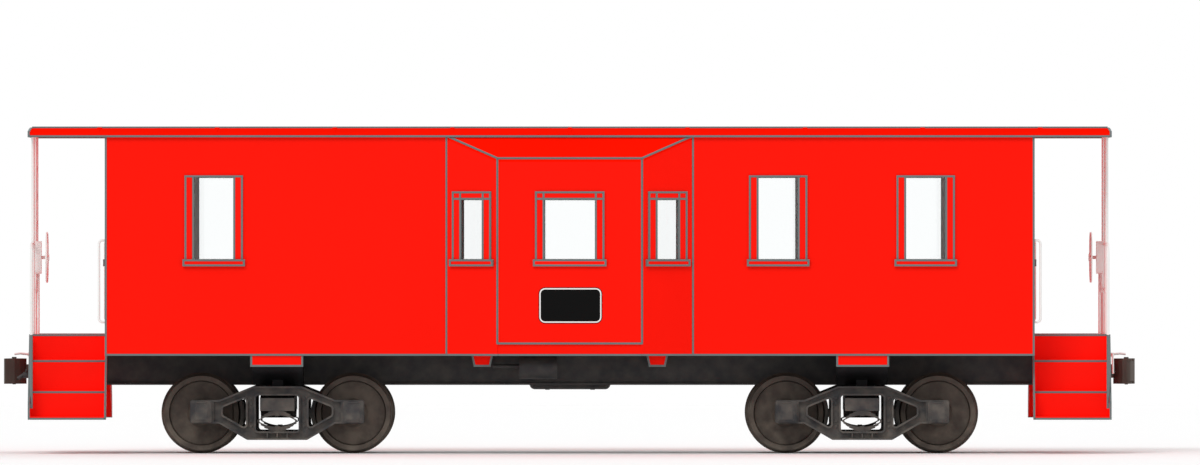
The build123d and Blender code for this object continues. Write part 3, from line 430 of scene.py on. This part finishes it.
def make_floor_planks():
    """Worn boards laid along the car, with dark joints."""
    material = finish("Floor boards", (0.26, 0.17, 0.10), roughness=0.7, mottle=0.3, bump=0.2)
    tree = material.node_tree
    link = tree.links.new
    shader = tree.nodes["Principled BSDF"]
    place = tree.nodes.new("ShaderNodeTexCoord")
    boards = tree.nodes.new("ShaderNodeTexBrick")
    boards.inputs["Scale"].default_value = 1.0
    boards.inputs["Brick Width"].default_value = 1.9
    boards.inputs["Row Height"].default_value = 0.14
    boards.inputs["Mortar Size"].default_value = 0.004
    boards.inputs["Color1"].default_value = (1.0, 1.0, 1.0, 1)
    boards.inputs["Color2"].default_value = (0.7, 0.68, 0.66, 1)
    boards.inputs["Mortar"].default_value = (0.12, 0.1, 0.08, 1)
    tint = tree.nodes.new("ShaderNodeMix")
    tint.data_type = "RGBA"
    tint.blend_type = "MULTIPLY"
    tint.inputs["Factor"].default_value = 1.0
    wood = shader.inputs["Base Color"].links[0].from_socket
    link(place.outputs["Object"], boards.inputs["Vector"])
    link(wood, tint.inputs["A"])
    link(boards.outputs["Color"], tint.inputs["B"])
    link(tint.outputs["Result"], shader.inputs["Base Color"])
    return material


def make_glass():
    """Clear window glass with a very slight wave."""
    material = bpy.data.materials.new("Window glass")
    material.use_nodes = True
    tree = material.node_tree
    shader = tree.nodes["Principled BSDF"]
    shader.inputs["Base Color"].default_value = (0.985, 0.995, 0.995, 1)
    shader.inputs["Roughness"].default_value = 0.02
    shader.inputs["IOR"].default_value = 1.45
    shader.inputs["Transmission Weight"].default_value = 1.0
    place = tree.nodes.new("ShaderNodeTexCoord")
    noise = tree.nodes.new("ShaderNodeTexNoise")
    noise.inputs["Scale"].default_value = 1.5
    relief = tree.nodes.new("ShaderNodeBump")
    relief.inputs["Strength"].default_value = 0.01
    relief.inputs["Distance"].default_value = 0.001
    tree.links.new(place.outputs["Object"], noise.inputs["Vector"])
    tree.links.new(noise.outputs["Fac"], relief.inputs["Height"])
    tree.links.new(relief.outputs["Normal"], shader.inputs["Normal"])
    return material


floor_boards = make_floor_planks()
glass = make_glass()

LOOKS = (
    (side_paint, ("side_walls",)),
    (end_paint, ("end_walls",)),
    (face_paint, ("bay_faces",)),
    (cheek_paint, ("bay_cheeks",)),
    (roof_paint, ("roof", "bay_roofs")),
    (edge_paint, ("roof_ridge_cap",)),
    (plain_red, ("window_frames", "door_frames", "door_leaf_a", "door_leaf_b")),
    (beam_paint, ("body_bolsters", "crossbearers")),
    (rail_paint, ("railing_posts", "railing_rails", "corner_grabs")),
    (corner_paint, ("corner_rails",)),
    (rail_paint, ("hand_brake_stands", "hand_brake_wheels")),
    (step_paint, ("step_plates", "step_treads", "platforms")),
    (under_paint, ("centre_sill", "floor_joists", "air_brake_gear", "side_sills")),
    (truck_paint, ("truck_side_frames_a", "truck_side_frames_b")),
    (truck_paint, ("truck_bolster_a", "truck_bolster_b", "brake_beams_a", "brake_beams_b")),
    (truck_paint, ("spring_plank_a", "spring_plank_b")),
    (spring_steel, ("truck_springs_a", "truck_springs_b")),
    (coupler_iron, ("couplers", "knuckle_a", "knuckle_b")),
    (wheel_steel, ("wheels_a1", "wheels_a2", "wheels_b1", "wheels_b2")),
    (wheel_steel, ("axle_a1", "axle_a2", "axle_b1", "axle_b2")),
    (floor_boards, ("cabin_floor", "bay_floors")),
    (locker_paint, ("bench_lockers", "bay_seats")),
    (glass, ("window_glass", "door_glass_a", "door_glass_b")),
)
for material, names in LOOKS:
    for name in names:
        mesh = nodes[name].data
        mesh.materials.clear()
        mesh.materials.append(material)


# Modelling helpers
LAP = 0.0008
BOLT_TAPER = 0.94


def piece(name, bm, materials, body="car_body", bevel=0.0, smooth=False):
    """Mesh object at the origin from a finished bmesh, riding on a body."""
    bmesh.ops.recalc_face_normals(bm, faces=bm.faces)
    mesh = bpy.data.meshes.new(name)
    bm.to_mesh(mesh)
    bm.free()
    for material in materials:
        mesh.materials.append(material)
    if smooth:
        mesh.shade_smooth()
        mesh.set_sharp_from_angle(angle=math.radians(35))
    shape = bpy.data.objects.new(name, mesh)
    scene.collection.objects.link(shape)
    if bevel:
        round_over = shape.modifiers.new("Rounded edges", "BEVEL")
        round_over.width = bevel
        round_over.segments = 2
        round_over.limit_method = "ANGLE"
    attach(shape, body)
    return shape


def add_block(bm, low, high, place=Matrix()):
    """Block between two opposite corners, then moved by place."""
    low = Vector(low)
    high = Vector(high)
    size = Matrix.Diagonal((*(high - low), 1.0))
    middle = Matrix.Translation((low + high) / 2)
    bmesh.ops.create_cube(bm, size=1.0, matrix=place @ middle @ size)


def add_batten(bm, start, stop, normal, width, proud, sunk=0.004):
    """Flat bar along a line on a surface; a level bar laps over the upright ones."""
    start = Vector(start)
    stop = Vector(stop)
    normal = Vector(normal).normalized()
    along = (stop - start).normalized()
    across = normal.cross(along).normalized()
    turn = Matrix((along, across, normal)).transposed().to_4x4()
    length = (stop - start).length + width
    if abs(along.z) < 0.5:
        length += 2 * LAP
        proud += LAP
    middle = (start + stop) / 2 + normal * (proud - sunk) / 2
    size = Matrix.Diagonal((length, width, proud + sunk, 1.0))
    bmesh.ops.create_cube(bm, size=1.0, matrix=Matrix.Translation(middle) @ turn @ size)


def add_rod(bm, start, stop, radius, segments=16):
    """Round bar between two points."""
    start = Vector(start)
    stop = Vector(stop)
    turn = (stop - start).to_track_quat("Z", "Y").to_matrix().to_4x4()
    place = Matrix.Translation((start + stop) / 2) @ turn
    length = (stop - start).length
    bmesh.ops.create_cone(
        bm,
        cap_ends=True,
        segments=segments,
        radius1=radius,
        radius2=radius,
        depth=length,
        matrix=place,
    )


def add_path(bm, points, radius, segments=16):
    """Round bars from point to point, with a ball at each bend."""
    for start, stop in zip(points, points[1:]):
        add_rod(bm, start, stop, radius, segments)
    for corner in points[1:-1]:
        bmesh.ops.create_uvsphere(
            bm,
            u_segments=segments,
            v_segments=8,
            radius=radius,
            matrix=Matrix.Translation(corner),
        )


def add_bolt(bm, point, normal, radius=0.014, height=0.012):
    """Hexagon head standing on a surface."""
    normal = Vector(normal).normalized()
    turn = normal.to_track_quat("Z", "Y").to_matrix().to_4x4()
    place = Matrix.Translation(Vector(point) + normal * height / 2) @ turn
    bmesh.ops.create_cone(
        bm,
        cap_ends=True,
        segments=6,
        radius1=radius,
        radius2=radius * BOLT_TAPER,
        depth=height,
        matrix=place,
    )


def add_far_side(bm):
    """Mirror everything to the other side of the car."""
    everything = bm.verts[:] + bm.edges[:] + bm.faces[:]
    bmesh.ops.mirror(bm, geom=everything, axis="Y", merge_dist=-1)


def add_end_a(bm):
    """Repeat everything at the other end, turned half a turn."""
    everything = bm.verts[:] + bm.edges[:] + bm.faces[:]
    copied = bmesh.ops.duplicate(bm, geom=everything)["geom"]
    verts = [one for one in copied if isinstance(one, bmesh.types.BMVert)]
    half_turn = Matrix.Rotation(math.pi, 3, "Z")
    bmesh.ops.rotate(bm, verts=verts, cent=(0, 0, 0), matrix=half_turn)


# Grey edging: the line that trims every panel, window and step
EDGE_W = 0.0215
EDGE_PROUD = 0.005
half = EDGE_W / 2
STILE_PROUD = 0.012
SILL_PROUD = 0.030
SILL_HEIGHT = 0.055
GLASS_IN = 0.024
SUNK = 0.003
# paint on the bay sills, which reach the side of the model's box
FILM = 0.0002


def add_window_edging(bm, place, clear, stile, head, sill, top, sill_film):
    """Glazing bead, frame outline and sill outline, facing -Y with the wall at y = 0."""
    front = -STILE_PROUD - EDGE_PROUD
    sill_front = -SILL_PROUD - sill_film
    inner = clear / 2
    outer = inner + stile
    foot = Z_WINDOW - SILL_HEIGHT
    crown = top + head
    for s in (-1, 1):
        for x, back in ((s * inner, GLASS_IN), (s * outer, SUNK)):
            add_block(bm, (x - half, front, Z_WINDOW), (x + half, back, crown), place)
        x = s * sill / 2
        add_block(bm, (x - half, sill_front, foot), (x + half, SUNK, Z_WINDOW), place)
    for z in sorted({top, crown}):
        low = (-outer - half - LAP, front - LAP, z - half)
        add_block(bm, low, (outer + half + LAP, GLASS_IN + LAP, z + half), place)
    lap = min(LAP, sill_film)
    for z in (foot, Z_WINDOW):
        low = (-sill / 2 - half - LAP, sill_front - lap, z - half)
        add_block(bm, low, (sill / 2 + half + LAP, SUNK - LAP, z + half), place)


# clear width, stile, head, sill length, top of the opening, thickness of the sill's edging
TALL = (0.451, 0.085, 0.0, 0.665, Z_TALL_TOP, EDGE_PROUD)
BAY = (0.575, 0.0835, 0.0715, 0.787, Z_LOW_TOP, FILM)
CHEEK = (0.265, 0.0865, 0.0715, 0.493, Z_LOW_TOP, EDGE_PROUD)
END = (0.400, 0.060, 0.060, 0.560, Z_LOW_TOP, EDGE_PROUD)
TALL_X = (-3.916, 2.293, 3.916)
END_WINDOW_Y = 0.860
cheek_angle = math.atan2(bay_out, bay_run)
cheek_x = (BAY_FOOT + BAY_FACE) / 2
cheek_y = -(BODY_Y + BAY_Y) / 2

bm = bmesh.new()
for x in TALL_X:
    add_window_edging(bm, Matrix.Translation((x, -BODY_Y, 0)), *TALL)
add_window_edging(bm, Matrix.Translation((0, -BAY_Y, 0)), *BAY)
for s in (-1, 1):
    turn = Matrix.Rotation(s * cheek_angle, 4, "Z")
    add_window_edging(bm, Matrix.Translation((s * cheek_x, cheek_y, 0)) @ turn, *CHEEK)
add_far_side(bm)
for s in (-1, 1):
    for y in (-END_WINDOW_Y, END_WINDOW_Y):
        turn = Matrix.Rotation(s * math.pi / 2, 4, "Z")
        add_window_edging(bm, Matrix.Translation((s * BODY_X, y, 0)) @ turn, *END)
piece("window_edging", bm, [edge_paint])

slope_n = Vector((0, -BAY_DROP, bay_out)).normalized()
face_n = (0, -1, 0)
side_y = -BODY_Y
bay_y = -BAY_Y
BAY_SETBACK = 0.010
EAVE_CLEAR = 0.002
FOLD_CLEAR = 0.01
quarter = EDGE_W / 4
panel_lines = []
for s in (-1, 1):
    fold_n = (s * cheek_n[0], -cheek_n[1], 0)
    fold_foot = (s * (BAY_FOOT - cheek_n[1] * quarter), side_y - cheek_n[0] * quarter)
    fold_face = (s * (BAY_FACE + cheek_n[1] * quarter), bay_y + cheek_n[0] * quarter)
    foot = s * (BAY_FOOT + quarter)
    edge = s * (BAY_FACE - quarter)
    # start, stop, way out, width
    panel_lines += [
        ((foot, side_y, Z_SILL), (s * (BODY_X - half), side_y, Z_SILL), face_n, EDGE_W),
        ((foot, side_y, Z_SILL), (foot, side_y, Z_EAVE), face_n, EDGE_W / 2),
        ((*fold_foot, Z_SILL), (*fold_foot, Z_EAVE - FOLD_CLEAR), fold_n, EDGE_W / 2),
        ((*fold_face, Z_BAY_FACE), (*fold_face, Z_BAY_TOP), fold_n, EDGE_W / 2),
        ((edge, bay_y, Z_BAY_FACE), (edge, bay_y, Z_BAY_TOP), face_n, EDGE_W / 2),
        ((*fold_foot, Z_SILL), (*fold_face, Z_SILL), fold_n, EDGE_W),
    ]
    low_corner = (s * BAY_FACE, bay_y, Z_BAY_TOP)
    high_corner = (s * BAY_FOOT, side_y, Z_EAVE)
    panel_lines.append((low_corner, high_corner, slope_n, EDGE_W))
sill_line_y = bay_y + BAY_SETBACK
face_half = BAY_FACE - quarter
fold_y = bay_y - slope_n.z * quarter
fold_z = Z_BAY_TOP - slope_n.y * quarter
head_z = Z_BAY_TOP - quarter
panel_lines += [
    ((-face_half, bay_y, Z_BAY_FACE), (face_half, bay_y, Z_BAY_FACE), face_n, EDGE_W),
    ((-face_half, bay_y, head_z), (face_half, bay_y, head_z), face_n, EDGE_W / 2),
    ((-face_half, fold_y, fold_z), (face_half, fold_y, fold_z), slope_n, EDGE_W / 2),
    ((-face_half, sill_line_y, Z_SILL), (face_half, sill_line_y, Z_SILL), face_n, EDGE_W),
]
bm = bmesh.new()
for start, stop, normal, width in panel_lines:
    add_batten(bm, start, stop, normal, width, EDGE_PROUD)
for s in (-1, 1):
    low_x, high_x = sorted((s * (BODY_X - half), s * (BODY_X + half)))
    add_block(
        bm,
        (low_x, -BODY_Y - EDGE_PROUD, Z_SILL - half),
        (high_x, half - BODY_Y, Z_EAVE - EAVE_CLEAR),
    )
add_far_side(bm)
piece("panel_edging", bm, [edge_paint])

# Ends of the body bolsters and crossbearers, outlined below the side sill
BOLSTER_HALF = 0.2805
BEARER_FOOT = 0.0825
BEAM_SETBACK = 0.010
beam_y = -(BODY_Y - BEAM_SETBACK)
bm = bmesh.new()
for s in (-1, 1):
    for middle, top, foot in (
        (s * TRUCK_X, BOLSTER_HALF, BOLSTER_HALF),
        (s * CROSSBEARER_X, BEARER_TOP, BEARER_FOOT),
    ):
        low_left = (middle - foot, beam_y, Z_BOLSTER_END)
        low_right = (middle + foot, beam_y, Z_BOLSTER_END)
        add_batten(bm, low_left, low_right, face_n, EDGE_W, EDGE_PROUD)
        high_left = (middle - top, beam_y, Z_SILL)
        high_right = (middle + top, beam_y, Z_SILL)
        add_batten(bm, low_left, high_left, face_n, EDGE_W, EDGE_PROUD)
        add_batten(bm, low_right, high_right, face_n, EDGE_W, EDGE_PROUD)
add_far_side(bm)
piece("underframe_edging", bm, [edge_paint])

# Roof: a line under each eave and a band over each end
FASCIA = 0.040
CROWN_RISE = 0.050
UNDER_EAVE = 0.0155
EAVE_DEEP = 0.03
BAND_LIFT = 0.010
BAND = 0.014
BAND_INSET = 0.004
bm = bmesh.new()
add_block(
    bm,
    (-ROOF_X, -EAVE_Y - EDGE_PROUD, Z_EAVE - UNDER_EAVE),
    (ROOF_X, EAVE_DEEP - EAVE_Y, Z_EAVE + EDGE_W - UNDER_EAVE),
)
add_far_side(bm)
piece("eave_edging", bm, [edge_paint])
bm = bmesh.new()
bands = bmesh.ops.create_grid(
    bm, x_segments=1, y_segments=32, size=1.0, matrix=Matrix.Diagonal((half, EAVE_Y, 1, 1))
)["verts"]
for vert in bands:
    share = vert.co.y / EAVE_Y
    vert.co.x += ROOF_X
    vert.co.z = Z_EAVE + FASCIA + CROWN_RISE * (1 - share * share) + BAND_LIFT
band_faces = {face for vert in bands for face in vert.link_faces}
bmesh.ops.solidify(bm, geom=list(band_faces), thickness=BAND)
corner_proud = EDGE_PROUD + LAP
for y in (-EAVE_Y, EAVE_Y):
    add_block(
        bm,
        (ROOF_X - half - LAP, y - corner_proud, Z_EAVE - UNDER_EAVE - LAP),
        (ROOF_X + half + LAP, y + corner_proud, Z_EAVE + FASCIA + BAND_LIFT),
    )
add_block(
    bm,
    (ROOF_X - BAND_INSET, -EAVE_Y, Z_EAVE - UNDER_EAVE),
    (ROOF_X + half, EAVE_Y, Z_EAVE + EDGE_W - UNDER_EAVE),
)
add_end_a(bm)
piece("roof_end_edging", bm, [edge_paint])

# Steps: nosings on the treads and the deck, and edge strips down the side plates
TREAD_DROPS = (0.899, 0.620, 0.279)
tread_run = (BODY_Y - STAIR_Y) / len(TREAD_DROPS)
PLATE = 0.012
NOSING = 0.030
DECK_NOSING = 0.010
TREAD_PROUD = 0.002
TREAD_LOW = 0.004
DECK_PROUD = 0.005
# side plate: how high it rises upright, and how far out from the deck its slope ends
KNEE_RISE = 0.174
CROWN_OUT = 0.130
STRIP_IN = 0.004
bm = bmesh.new()
for k, drop in enumerate(TREAD_DROPS):
    y = BODY_Y - k * tread_run
    top = Z_FLOOR - drop + TREAD_PROUD
    foot = Z_STEP - half if k == 0 else top - EDGE_W - TREAD_LOW
    add_block(
        bm, (BODY_X + PLATE, y - NOSING, foot), (ROOF_X - PLATE, y + EDGE_PROUD, foot + EDGE_W)
    )
foot = Z_FLOOR - EDGE_W + DECK_PROUD
low = (BODY_X + PLATE, STAIR_Y - DECK_NOSING, foot)
add_block(bm, low, (ROOF_X - PLATE, STAIR_Y + PLATE + EDGE_PROUD, foot + EDGE_W))
for x in (BODY_X + half - STRIP_IN, ROOF_X):
    foot = Vector((x, BODY_Y, Z_STEP))
    knee = Vector((x, BODY_Y, Z_STEP + KNEE_RISE))
    crown = Vector((x, STAIR_Y + CROWN_OUT, Z_FLOOR))
    along = (crown - knee).normalized()
    add_batten(bm, foot, knee, (0, 1, 0), EDGE_W, EDGE_PROUD)
    add_batten(bm, knee, crown - along * half, (0, along.z, -along.y), EDGE_W, EDGE_PROUD)
add_far_side(bm)
add_end_a(bm)
piece("step_edging", bm, [edge_paint])


# Blank plaque on each bay face: black with a white border
PLAQUE_X = 0.008
PLAQUE_Z = 1.634
PLAQUE_HALF = (0.349, 0.198)
PLAQUE_CORNER = 0.07
PLAQUE = 0.004


def add_plaque(side_sign):
    """Plate with rounded corners on one bay face: black rim, white border, black field."""
    bm = bmesh.new()
    bmesh.ops.create_grid(bm, x_segments=1, y_segments=1, size=1.0)
    scale = Vector((*PLAQUE_HALF, 1.0))
    bmesh.ops.scale(bm, vec=scale, verts=bm.verts)
    bmesh.ops.bevel(
        bm,
        geom=bm.verts[:],
        offset=PLAQUE_CORNER,
        segments=8,
        profile=0.5,
        affect="VERTICES",
        material=-1,
    )
    for width, shade in ((0.008, 0), (0.014, 1)):
        core = max(bm.faces, key=lambda face: face.calc_area())
        core.material_index = 0
        ring = bmesh.ops.inset_individual(
            bm, faces=[core], thickness=width, use_even_offset=True
        )
        for face in ring["faces"]:
            face.material_index = shade
    place = Matrix.Translation((PLAQUE_X, side_sign * (BAY_Y + PLAQUE), PLAQUE_Z))
    upright = Matrix.Rotation(side_sign * -math.pi / 2, 4, "X")
    bmesh.ops.transform(bm, matrix=place @ upright, verts=bm.verts)
    name = "plaque_near" if side_sign < 0 else "plaque_far"
    shape = piece(name, bm, [plaque_black, plaque_white])
    thick = shape.modifiers.new("Plate", "SOLIDIFY")
    thick.thickness = PLAQUE


for side_sign in (-1, 1):
    add_plaque(side_sign)


# End doors: a lever on its plate and a lock below it, on both faces of each leaf
HANDLE_Y = 0.318
HANDLE_RISE = 0.98
LEAF = 0.045
LOCK_DROP = 0.065


def add_door_furniture(body, s):
    """Fittings of the door at the end with sign s."""
    bm = bmesh.new()
    handle_y = -s * HANDLE_Y
    z = Z_FLOOR + HANDLE_RISE
    for face_x, way in ((DOOR_X, s), (DOOR_X - LEAF, -s)):
        x = s * face_x
        low_x, high_x = sorted((x - way * 0.002, x + way * 0.006))
        add_block(bm, (low_x, handle_y - 0.028, z - 0.10), (high_x, handle_y + 0.028, z + 0.08))
        reach = x + way * 0.05
        tip_y = handle_y + s * 0.12
        add_path(bm, [(x, handle_y, z), (reach, handle_y, z), (reach, tip_y, z - 0.006)], 0.009)
        lock_z = z - LOCK_DROP
        add_rod(bm, (x, handle_y, lock_z), (x + way * 0.009, handle_y, lock_z), 0.012)
    piece(f"{body}_furniture", bm, [handle_steel], body, 0.001, True)


add_door_furniture("door_b", 1)
add_door_furniture("door_a", -1)


# Ends: uncoupling lever with its brackets, brake pipe end, and bolt heads on the end beam
LEVER_X = ROOF_X + 0.035
LEVER_Z = 1.085
bm = bmesh.new()
lever = [
    (LEVER_X, -1.02, LEVER_Z - 0.20),
    (LEVER_X, -0.90, LEVER_Z),
    (LEVER_X, -0.10, LEVER_Z),
    (LEVER_X + 0.10, -0.07, LEVER_Z + 0.012),
    (LEVER_X + 0.165, -0.07, LEVER_Z + 0.005),
]
add_path(bm, lever, 0.012)
for y in (-0.66, -0.22):
    add_block(
        bm,
        (ROOF_X - 0.002, y - 0.02, LEVER_Z - 0.05),
        (ROOF_X + 0.006, y + 0.02, LEVER_Z + 0.05),
    )
    add_block(
        bm,
        (ROOF_X, y - 0.006, LEVER_Z - 0.022),
        (LEVER_X + 0.02, y + 0.006, LEVER_Z + 0.022),
    )
add_end_a(bm)
piece("uncoupling_levers", bm, [rail_paint], bevel=0.001, smooth=True)

bm = bmesh.new()
PIPE_IN_Y = 0.19
PIPE_BRACKET_TOP = 1.02
pipe_y = 0.33
pipe_z = 0.86
pipe = [
    (ROOF_X - 0.30, PIPE_IN_Y, pipe_z),
    (ROOF_X - 0.10, pipe_y, pipe_z),
    (ROOF_X + 0.09, pipe_y, pipe_z),
    (ROOF_X + 0.15, pipe_y, pipe_z - 0.04),
]
add_path(bm, pipe, 0.021, 20)
add_rod(bm, (ROOF_X + 0.02, pipe_y, pipe_z), (ROOF_X + 0.09, pipe_y, pipe_z), 0.034, 20)
add_rod(bm, (ROOF_X + 0.055, pipe_y, pipe_z), (ROOF_X + 0.055, pipe_y, pipe_z + 0.055), 0.014)
add_block(
    bm,
    (ROOF_X + 0.045, pipe_y - 0.01, pipe_z + 0.05),
    (ROOF_X + 0.065, pipe_y + 0.09, pipe_z + 0.062),
)
add_block(
    bm,
    (ROOF_X - 0.03, pipe_y - 0.03, pipe_z - 0.03),
    (ROOF_X - 0.005, pipe_y + 0.03, PIPE_BRACKET_TOP),
)
add_end_a(bm)
piece("brake_pipe_ends", bm, [under_paint], bevel=0.001, smooth=True)

bm = bmesh.new()
for y in (-0.62, -0.54, -0.34, 0.34, 0.54, 0.62):
    for z in (1.035, 1.175):
        add_bolt(bm, (ROOF_X, y, z), (1, 0, 0))
for y in (-0.155, 0.155):
    for z in (0.79, 0.86, 0.93):
        add_bolt(bm, (ROOF_X, y, z), (1, 0, 0))
add_end_a(bm)
piece("end_beam_bolts", bm, [step_paint])


# Trucks: bolts on the box lids and columns, and links that carry the brake beams
COLUMN_X = 0.29
COLUMN_IN = 0.110
LINK_OUT = 1.07
LINK_RISE = 0.15
SHOE_Y = 0.905


def add_truck_fittings(body, middle):
    """Fittings of the truck whose middle is at x = middle."""
    bm = bmesh.new()
    links = bmesh.new()
    for s in (-1, 1):
        for x in (-AXLE_X, AXLE_X):
            for dx in (-0.078, 0.078):
                for dz in (-0.078, 0.045):
                    point = (middle + x + dx, s * (BOX_Y - 0.008), AXLE_Z + dz)
                    add_bolt(bm, point, (0, s, 0), 0.009, 0.007)
        for dx in (-COLUMN_X, COLUMN_X):
            for z in (0.30, 0.36, 0.55, 0.61):
                add_bolt(bm, (middle + dx, s * (BOX_Y - COLUMN_IN), z), (0, s, 0), 0.017, 0.014)
            link_x = middle + dx * LINK_OUT
            hook = (link_x, s * (SHOE_Y - 0.075), AXLE_Z + 0.015)
            hang = (link_x, s * (SHOE_Y - 0.035), AXLE_Z + LINK_RISE)
            peg = (link_x, s * (SHOE_Y + 0.002), AXLE_Z + LINK_RISE)
            add_path(links, [hook, hang, peg], 0.011, 12)
    piece(f"{body}_bolts", bm, [truck_paint], body)
    piece(f"{body}_brake_links", links, [truck_paint], body, smooth=True)


add_truck_fittings("truck_a", -TRUCK_X)
add_truck_fittings("truck_b", TRUCK_X)


# Cushions of the bay seats: even blocks that a cloth simulation swells, fitted to their places
SEAT_X = (0.400, 0.900)
SEAT_Y = (1.100, 1.460)
Z_SEAT = Z_FLOOR + 0.450
BACK = 0.080
PAD = 0.080
BACK_HEIGHT = 0.390
PAD_GAP = 0.005
VOXEL = 0.010
FRAMES = 20
INSET = 0.003
CROWN = 0.016
SIDE_MOVE = 0.010
SEAM = 0.003
SEAM_DEPTH = 0.014
SEAM_WIDTH = 0.007
PAD_CORNER = 0.012


def applied(shape):
    """Mesh of an object with its modifiers applied."""
    graph = bpy.context.evaluated_depsgraph_get()
    return bpy.data.meshes.new_from_object(shape.evaluated_get(graph))


def swell(low, high):
    """Even mesh of a rounded block, and how far each point moves as air fills its cloth."""
    bm = bmesh.new()
    add_block(bm, low, high)
    bmesh.ops.bevel(
        bm,
        geom=bm.edges[:],
        offset=PAD_CORNER,
        segments=3,
        profile=0.5,
        affect="EDGES",
        material=-1,
    )
    mesh = bpy.data.meshes.new("pad_block")
    bm.to_mesh(mesh)
    bm.free()
    block = bpy.data.objects.new("pad_block", mesh)
    scene.collection.objects.link(block)
    remesh = block.modifiers.new("Even mesh", "REMESH")
    remesh.mode = "VOXEL"
    remesh.voxel_size = VOXEL
    even = applied(block)
    block.modifiers.clear()
    block.data = even
    moves = [Vector() for vert in even.vertices]
    cloth = block.modifiers.new("Cloth", "CLOTH")
    cloth.settings.quality = 5
    cloth.settings.mass = 0.15
    cloth.settings.tension_stiffness = 40
    cloth.settings.compression_stiffness = 40
    cloth.settings.shear_stiffness = 20
    cloth.settings.use_pressure = True
    cloth.settings.uniform_pressure_force = 4.0
    cloth.settings.effector_weights.gravity = 0.0
    cloth.point_cache.frame_start = 1
    cloth.point_cache.frame_end = FRAMES
    for frame_number in range(1, FRAMES + 1):
        scene.frame_set(frame_number)
    full = applied(block)
    moves = [new.co - old.co for new, old in zip(full.vertices, even.vertices)]
    scene.frame_set(1)
    bpy.data.objects.remove(block)
    return even, moves


def make_pad(low, high, thick, front):
    """Pad that crowns along the axis thick towards front and lies flat on its other face."""
    low = Vector(low)
    high = Vector(high)
    start_low = low + Vector((INSET, INSET, INSET))
    start_high = high - Vector((INSET, INSET, INSET))
    if front > 0:
        start_low[thick] = low[thick]
        start_high[thick] -= CROWN
        rim = start_high[thick]
    else:
        start_high[thick] = high[thick]
        start_low[thick] += CROWN
        rim = start_low[thick]
    mesh, moves = swell(start_low, start_high)
    most = max(abs(move[thick]) for move in moves)
    lift = (CROWN + INSET) / most if most else 0.0
    for vert, move in zip(mesh.vertices, moves):
        home = vert.co.copy()
        depth = abs(home[thick] - rim)
        seam = SEAM * math.exp(-(((depth - SEAM_DEPTH) / SEAM_WIDTH) ** 2))
        for axis in range(3):
            step = move[axis] * lift
            if axis != thick:
                step = max(-SIDE_MOVE, min(SIDE_MOVE, move[axis]))
                if home[axis] - start_low[axis] < SEAM:
                    step += seam
                if start_high[axis] - home[axis] < SEAM:
                    step -= seam
            vert.co[axis] = min(max(home[axis] + step, low[axis]), high[axis])
    return mesh


back_x = SEAT_X[1] - BACK
pad_x = back_x - PAD
cushion = make_pad(
    (SEAT_X[0], SEAT_Y[0], Z_SEAT), (pad_x - PAD_GAP, SEAT_Y[1], Z_SEAT + PAD), 2, 1
)
back_pad = make_pad((pad_x, SEAT_Y[0], Z_SEAT), (back_x, SEAT_Y[1], Z_SEAT + BACK_HEIGHT), 0, -1)
for corner, end_sign, side_sign in (
    ("b_far", 1, 1),
    ("b_near", 1, -1),
    ("a_near", -1, -1),
    ("a_far", -1, 1),
):
    for kind, shape in (("seat_cushion", cushion), ("seat_back", back_pad)):
        mesh = shape.copy()
        mesh.transform(Matrix.Diagonal((end_sign, side_sign, 1, 1)))
        if end_sign * side_sign < 0:
            mesh.flip_normals()
        mesh.materials.clear()
        mesh.materials.append(seat_vinyl)
        mesh.shade_smooth()
        pad = bpy.data.objects.new(f"{kind}_{corner}", mesh)
        scene.collection.objects.link(pad)
        soften = pad.modifiers.new("Soft surface", "SUBSURF")
        soften.levels = 1
        soften.render_levels = 1
        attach(pad, "car_body")
        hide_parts("bay_cushions")
bpy.data.meshes.remove(cushion)
bpy.data.meshes.remove(back_pad)


# Floor and light
FLOOR_HALF = 60.0
bm = bmesh.new()
bmesh.ops.create_grid(bm, x_segments=1, y_segments=1, size=FLOOR_HALF)
mesh = bpy.data.meshes.new("studio_floor")
bm.to_mesh(mesh)
bm.free()
studio_floor = bpy.data.objects.new("studio_floor", mesh)
scene.collection.objects.link(studio_floor)
floor_material = bpy.data.materials.new("Studio floor")
floor_material.use_nodes = True
floor_shader = floor_material.node_tree.nodes["Principled BSDF"]
floor_shader.inputs["Base Color"].default_value = (0.97, 0.97, 0.97, 1)
floor_shader.inputs["Roughness"].default_value = 0.9
mesh.materials.append(floor_material)

world = bpy.data.worlds.new("Studio")
scene.world = world
world.use_nodes = True
tree = world.node_tree
background = tree.nodes["Background"]
background.inputs["Color"].default_value = (1, 1, 1, 1)
rays = tree.nodes.new("ShaderNodeLightPath")
seen = math_node(tree, "MAXIMUM")
seen_all = math_node(tree, "MAXIMUM")
# the world lights the car by this much, and looks white to the camera, gloss and glass
AMBIENT = 0.70
strength = range_node(tree, 0.0, 1.0, AMBIENT, 1.0)
tree.links.new(rays.outputs["Is Camera Ray"], seen.inputs[0])
tree.links.new(rays.outputs["Is Glossy Ray"], seen.inputs[1])
tree.links.new(seen.outputs[0], seen_all.inputs[0])
tree.links.new(rays.outputs["Is Transmission Ray"], seen_all.inputs[1])
tree.links.new(seen_all.outputs[0], strength.inputs["Value"])
tree.links.new(strength.outputs["Result"], background.inputs["Strength"])

# name, strength, tilt from straight down, turn about the vertical
SUNS = (
    ("key", 1.10, 46, -25),
    ("fill", 0.35, 55, 150),
)
SOFTNESS = 25
for name, energy, tilt, turn in SUNS:
    sun_data = bpy.data.lights.new(name, "SUN")
    sun_data.energy = energy
    sun_data.angle = math.radians(SOFTNESS)
    sun = bpy.data.objects.new(name, sun_data)
    sun.rotation_euler = (math.radians(tilt), 0, math.radians(turn))
    scene.collection.objects.link(sun)
